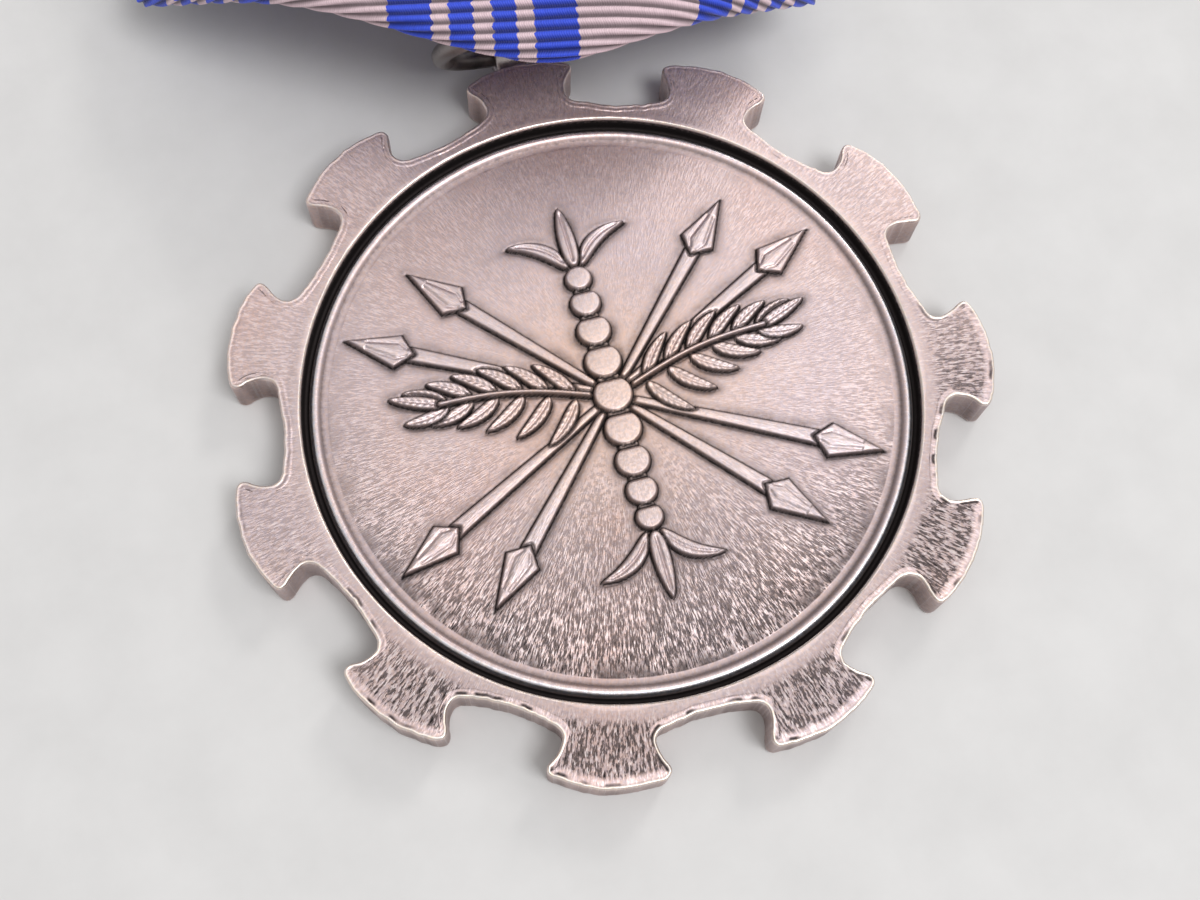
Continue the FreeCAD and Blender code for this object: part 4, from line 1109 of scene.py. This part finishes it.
def ribbon_sheet(along, x):
    """y, z and normal y, z of the smooth cloth.

    along is 0 at the bend next to the brooch, rises round the sleeve, and falls down the
    front sheet, round the fold and up the back sheet.
    """
    sheet = np.zeros((4,) + along.shape)

    def lay(mask, y, z, normal_y, normal_z, offset=0.0):
        values = (y + normal_y * offset, z + normal_z * offset, normal_y, normal_z)
        for target, value in zip(sheet, values):
            target[mask] = value[mask]

    path = sleeve_path()
    path_s = arc_length(path)

    def on_sleeve(s):
        return np.interp(s, path_s, path[:, 0]), np.interp(s, path_s, path[:, 1])

    after, before = on_sleeve(along + 0.05), on_sleeve(along - 0.05)
    ty, tz = after[0] - before[0], after[1] - before[1]
    length = np.hypot(ty, tz) + 1e-9
    lay(along > 0, *on_sleeve(along), -tz / length, ty / length)

    start = fold_start(x)
    s = along + DRAPE_LENGTH
    y, z, ty, tz = drape_at(s)
    lay((along <= 0) & (s >= start), y, z, -tz, ty, half_gap(s))

    # the fold turns from the front normal over the nose to the back normal
    past = start - s
    gap = half_gap(start)
    angle = past / gap
    y, z, ty, tz = drape_at(start)
    lay((along <= 0) & (s < start) & (angle < math.pi), y, z,
        -tz * np.cos(angle) - ty * np.sin(angle),
        ty * np.cos(angle) - tz * np.sin(angle), gap)

    past_fold = past - math.pi * gap
    back_s = np.minimum(start + past_fold, DRAPE_LENGTH + 1.0)
    y, z, ty, tz = drape_at(back_s)
    lay((along <= 0) & (s < start) & (past_fold >= 0), y, z, tz, -ty, half_gap(back_s))
    return sheet


def build_ribbon():
    """one woven strip: up the back, round the V fold, up the front, round the bar"""
    columns = 121
    rows_per_cord = 8
    xs = np.linspace(-1, 1, columns)
    xs = RIBBON_HALF_WIDTH * signed_power(xs, 0.96)
    top = arc_length(sleeve_path())[-1]
    low = -(2 * DRAPE_LENGTH + 4.6)          # the back sheet ends near the sleeve again
    step = CORD_PITCH / rows_per_cord
    rows = int((top - low) / step) + 1
    stations = (round(top / step) - np.arange(rows)) * step
    stations[0] = top
    along, x = np.meshgrid(stations, xs, indexing="ij")
    y, z, normal_y, normal_z = ribbon_sheet(along, x)

    # weft cords: rounded crests with narrow valleys, in softly uneven cloth
    phase = 2 * np.pi * ((along / CORD_PITCH) % 1.0)
    cord = (0.5 - 0.5 * np.cos(phase)) ** 0.85
    shade = lattice_noise(x + 60, along + 200, 2.2, 71)
    fine = lattice_noise(x + 60, along + 200, 0.45, 72)
    inset = 0.175 * (0.85 + 0.3 * shade) * (1 - cord) + 0.018 * (fine - 0.5)
    soft = 0.10 * (lattice_noise(x + 30, along + 90, 7.5, 73) - 0.5) * smooth01(-along / 4.0)
    out = -inset + soft
    # long edges: each cord ends in a tiny loop
    near_edge = smooth01((np.abs(x) - 16.9) / 0.5)
    edge_x = x - np.sign(x) * near_edge * (0.07 * (1 - cord) + 0.02 * fine)
    # stripe borders swing a little from cord to cord
    swing = lattice_noise(np.round(along / CORD_PITCH) * 1.7 + 400, x * 0.15 + 50, 1.0, 75)
    stripe_x = x - 0.055 * np.cos(phase) + 0.05 * (swing - 0.5)
    uv = np.stack([stripe_x / UV_WIDTH + 0.5, along / UV_LENGTH], -1).reshape(-1, 2)
    verts = askew(crowned(edge_x, y + normal_y * out, z + normal_z * out)).reshape(-1, 3)
    return mesh_object("ribbon_strip", verts, grid_quads(rows, columns, flip=True), uv=uv,
                       attributes={"cord": cord.ravel(), "shade": shade.ravel()})


def thicken(obj):
    """gives the cloth its thickness and keeps the result as the object's own mesh"""
    solidify = obj.modifiers.new("thick", "SOLIDIFY")
    solidify.thickness = CLOTH_THICKNESS * MM
    solidify.offset = -1.0
    solidify.use_rim = True
    solidify.use_quality_normals = True
    bpy.context.view_layer.objects.active = obj
    bpy.context.view_layer.update()
    depsgraph = bpy.context.evaluated_depsgraph_get()
    solid = bpy.data.meshes.new_from_object(obj.evaluated_get(depsgraph))
    obj.modifiers.clear()
    obj.data = solid


ribbon = build_ribbon()
thicken(ribbon)
set_material(ribbon, ribbon_weave())
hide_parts("ribbon_drape", "ribbon_sleeve")
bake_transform(ribbon)


# ------------------------------------------------------------------ suspension ring and lug
def build_ring():
    """a split ring: the two cut ends meet with a hairline gap at the +X side"""
    lug = np.array([0.0, LUG_Y, LUG_Z])
    far_side = np.array([0.0, LOOP_Y, LOOP_Z])
    centre = (lug + far_side) / 2
    across = unit(far_side - lug)
    count = 160
    split = math.radians(12)
    half_split = 0.035 / RING_RADIUS
    angle = np.linspace(split + half_split, split + 2 * math.pi - half_split, count)[:, None]
    path = centre + RING_RADIUS * (np.cos(angle) * np.array([1.0, 0, 0])
                                   + np.sin(angle) * across)
    radius = np.full(count, WIRE_RADIUS)
    radius[[0, -1]] = WIRE_RADIUS * 0.90
    return closed_object("suspension_ring_wire", tube(path, radius, sides=28))


def lug_eye():
    """a flat-sided hoop round an axis along X"""
    ring_count, section_count = 64, 28
    half_width, half_depth, mean_radius, squareness = 0.80, 0.275, 0.975, 0.62
    t = np.linspace(0, 2 * math.pi, section_count, endpoint=False)[None, :]
    angle = np.linspace(0, 2 * math.pi, ring_count, endpoint=False)[:, None]
    x = half_width * signed_power(np.cos(t), squareness)
    r = mean_radius + half_depth * signed_power(np.sin(t), squareness)
    verts = np.stack([x + 0 * angle, LUG_Y + r * np.cos(angle), LUG_Z + r * np.sin(angle)], -1)
    # an extra row of quads, wrapped back to the first ring
    quads = grid_quads(ring_count + 1, section_count, wrap=True) % (ring_count * section_count)
    # corner order: along the section first
    return verts.reshape(-1, 3), quads, np.zeros((0, 3), int)


def lug_foot():
    """a flared block from inside the top lobe to the eye"""
    start_y, end_y, centre_z = 17.05, 17.95, 1.25
    angle = np.linspace(0, 2 * math.pi, 40, endpoint=False)
    sections = []
    for i in range(15):
        y = start_y + (end_y - start_y) * (i / 14)
        flare = 0.42 * math.exp(-((y - 17.40) / 0.22) ** 2)
        x = (0.66 + flare * 1.15) * signed_power(np.cos(angle), 0.6)
        z = centre_z + (0.56 + flare * 0.9) * signed_power(np.sin(angle), 0.6)
        sections.append(np.stack([x, np.full(40, y), z], -1))
    return capped_sections(np.array(sections), (0, start_y, centre_z), (0, end_y, centre_z))


ring = build_ring()
# painted shade: the ring's metal is dark grey, standing in for the shadow under the ribbon that
# hides the ring
set_material(ring, plain_metal(
    "ring_wire_shade_darkened", color=(0.26, 0.235, 0.23), dark=(0.030, 0.026, 0.025),
    roughness=0.40, scratch=60, stretch=(1, 1, 1), bump=0.18))
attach(ring, "ring")
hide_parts("suspension_ring")

lug = closed_object("suspension_lug_eye", lug_eye(), lug_foot())
set_material(lug, plain_metal(
    "lug_silver", color=(0.60, 0.54, 0.525), dark=(0.06, 0.052, 0.05),
    roughness=0.36, scratch=50, stretch=(1, 1, 1), bump=0.3))
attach(lug, "medal")
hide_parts("suspension_lug")


# ------------------------------------------------------------------ thread tacks
def stitch(path, radius):
    """parts of one stitch, thinner at its ends"""
    end = np.abs(2 * np.linspace(0, 1, len(path)) - 1)
    return tube(path, radius * np.sqrt(np.clip(1 - end ** 6, 0.15, 1)), sides=10)


def ribbon_stitches():
    """a row of eleven stitches across the ribbon's back, next to the sleeve"""
    row_y = BEND_Y + 0.75 + 0.42
    length, pitch = 1.7, 2.9
    f = np.linspace(0, 1, 15)
    for i in range(11):
        x = (i - 5) * pitch - length / 2 + length * f
        y = row_y + 0.10 * (f - 0.5) + 0.05 * math.sin(i * 2.3)
        z = 5.60 + 0.24 * (2 * f - 1) ** 6
        yield stitch(askew(np.stack([x, y, z], -1)), radius=0.13)


thread = sewing_thread()
stitches = closed_object("ribbon_thread_tacks", *ribbon_stitches())
set_material(stitches, thread)
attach(stitches, "brooch")
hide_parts("ribbon_stitching")

# ------------------------------------------------------------------ tape loop that holds the ring
TAPE_HALF_WIDTH, TAPE_HALF_THICKNESS = 1.17, 0.12


def cloth_back_z(y):
    """just clear of the ribbon's back face"""
    return float(np.interp(y, DRAPE[:, 0], DRAPE[:, 1])) - float(half_gap(y - FOLD_Y)) - 0.06


def outer_tape_z(y):
    """middle of the tape's outer layer, which waves a little"""
    return cloth_back_z(y) - 0.38 - 0.06 * math.sin((y - LOOP_Y) * 1.1)


def build_loop():
    """narrow tape folded round the ring's wire, both ends together up the ribbon's back"""
    loop_radius = 0.94
    end_y = LOOP_Y + 4.5
    path = [(y, outer_tape_z(y)) for y in np.linspace(end_y, LOOP_Y + 1.15, 16)]
    path += [(LOOP_Y + loop_radius * math.cos(a), LOOP_Z + loop_radius * math.sin(a))
             for a in np.linspace(math.radians(-20), math.radians(-325), 44)]
    path += [(y, cloth_back_z(y) - 0.125) for y in np.linspace(LOOP_Y + 1.05, end_y - 0.1, 16)]
    path = np.array(path)
    # even out the corners where the straight ends leave the round
    for _ in range(3):
        path[1:-1] = (path[:-2] + 2 * path[1:-1] + path[2:]) / 4
    tangent = unit(np.gradient(path, axis=0))
    normal = np.stack([-tangent[:, 1], tangent[:, 0]], -1)
    t = np.linspace(0, 2 * math.pi, 44, endpoint=False)
    across = TAPE_HALF_WIDTH * signed_power(np.cos(t), 0.30)
    depth = TAPE_HALF_THICKNESS * signed_power(np.sin(t), 0.6)
    sections = []
    for i, ((y, z), (normal_y, normal_z)) in enumerate(zip(path, normal)):
        # the very ends are pressed thinner
        pressed = 0.55 if i in (0, len(path) - 1) else 1.0
        out = depth * pressed * (1.0 + 0.05 * math.sin(i * 2.1))
        sections.append(np.stack([across * (1.0 - 0.012 * math.sin(i * 1.9)),
                                  y + normal_y * out, z + normal_z * out], -1))
    return closed_object("ring_loop_tape", capped_sections(
        np.array(sections), (0, *path[0]), (0, *path[-1])))


def loop_stitches():
    """three rows of three small stitches through the tape's ends"""
    length = 0.54
    f = np.linspace(0, 1, 13)
    for row_y in (16.4, 17.5, 18.6):
        face_z = outer_tape_z(row_y) - TAPE_HALF_THICKNESS
        for k in (-1, 0, 1):
            x = k * 0.72 - length / 2 + length * f
            y = row_y + 0.12 * (f - 0.5) * (1 if k else -1)
            z = face_z - 0.035 + 0.12 * (2 * f - 1) ** 6
            yield stitch(np.stack([x, y, z], -1), radius=0.075)


loop = build_loop()
set_material(loop, twill_tape())
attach(loop, "drape")
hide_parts("ring_loop")

loop_tacks = closed_object("loop_thread_tacks", *loop_stitches())
set_material(loop_tacks, thread)
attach(loop_tacks, "drape")

# ------------------------------------------------------------------ brooch hardware
brooch_metal = plain_metal(
    "brooch_nickel", color=(0.66, 0.62, 0.57), dark=(0.16, 0.135, 0.11),
    roughness=0.32, scratch=55, stretch=(0.25, 1.6, 1.6), bump=0.2)
bar_metal = plain_metal(
    "brooch_bar_metal", color=(0.52, 0.49, 0.46), dark=(0.12, 0.10, 0.09),
    roughness=0.40, scratch=55, stretch=(0.25, 1.6, 1.6), bump=0.25)
pin_steel = plain_metal(
    "pin_polished_steel", color=(0.70, 0.70, 0.71), dark=(0.22, 0.21, 0.20),
    roughness=0.20, scratch=70, stretch=(0.2, 2.2, 2.2), bump=0.1)


def soften(obj, material, bevel_width):
    """finishes a CAD piece with its metal and rounded edges"""
    set_material(obj, material)
    for polygon in obj.data.polygons:
        polygon.use_smooth = True
    weld = obj.modifiers.new("weld", "WELD")
    weld.merge_threshold = 0.002 * MM
    bevel = obj.modifiers.new("soft_edges", "BEVEL")
    bevel.width = bevel_width * MM
    bevel.segments = 3
    bevel.limit_method = "ANGLE"
    bevel.angle_limit = math.radians(38)
    bevel.use_clamp_overlap = True
    bevel.harden_normals = True


# CAD piece, metal, bevel width
for piece, metal, bevel_width in (
        ("brooch_bar", bar_metal, 0.10), ("brooch_plate", brooch_metal, 0.12),
        ("brooch_rivets", brooch_metal, 0.08), ("hinge_bracket", brooch_metal, 0.09),
        ("hinge_rivet", pin_steel, 0.08), ("pin_stem", pin_steel, 0.05),
        ("catch_body", brooch_metal, 0.09), ("catch_rotor", brooch_metal, 0.08)):
    soften(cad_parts[piece], metal, bevel_width)

# ------------------------------------------------------------------ floor, light, camera
FLOOR_HALF, FLOOR_Z = 900, -0.02
floor = mesh_object("floor_sheet", [
    (sx * FLOOR_HALF, sy * FLOOR_HALF, FLOOR_Z)
    for sx, sy in ((-1, -1), (1, -1), (1, 1), (-1, 1))], [(0, 1, 2, 3)])
set_material(floor, pale_floor())


def set_world(color, strength):
    world = bpy.data.worlds.new("studio")
    bpy.context.scene.world = world
    world.use_nodes = True
    background = world.node_tree.nodes["Background"]
    background.inputs["Color"].default_value = color
    background.inputs["Strength"].default_value = strength


def area_light(name, location, target, size, power, color):
    """square area light aimed at target; metres and watts"""
    light = bpy.data.lights.new(name, "AREA")
    light.shape = "RECTANGLE"
    light.size = light.size_y = size
    light.energy = power
    light.color = color
    obj = bpy.data.objects.new(name, light)
    obj.location = location
    aim = Vector(target) - Vector(location)
    obj.rotation_euler = aim.to_track_quat("-Z", "Y").to_euler()
    bpy.context.scene.collection.objects.link(obj)


def add_camera():
    data = bpy.data.cameras.new("camera")
    data.sensor_width = 36.0
    data.sensor_fit = "HORIZONTAL"
    data.lens = 45.153
    data.clip_start = 0.001
    camera = bpy.data.objects.new("camera", data)
    bpy.context.scene.collection.objects.link(camera)
    right = Vector((0.96223110, -0.27014273, 0.03367801))
    up = Vector((0.24659586, 0.91732649, 0.31257415))
    forward = Vector((0.11533336, 0.29246371, -0.94929616))
    placed = Matrix((right, up, -forward)).transposed().to_4x4()
    placed.translation = Vector((-8.975, -21.886, 63.073 + THICKNESS)) * MM
    camera.matrix_world = placed
    bpy.context.scene.camera = camera


set_world(color=(1.0, 0.99, 0.985, 1), strength=0.50)
area_light("overhead", location=(0.02, 0.02, 0.50), target=(0, 0.005, 0), size=0.44,
           power=0.50, color=(1.0, 0.985, 0.975))
area_light("side", location=(0.30, 0.28, 0.34), target=(0, 0.005, 0), size=0.12,
           power=0.50, color=(1.0, 0.98, 0.95))
area_light("front", location=(0.13, -0.18, 0.42), target=(0, 0.012, 0), size=0.18,
           power=1.15, color=(0.98, 0.985, 1.0))
add_camera()
bpy.context.scene.view_settings.view_transform = "Standard"
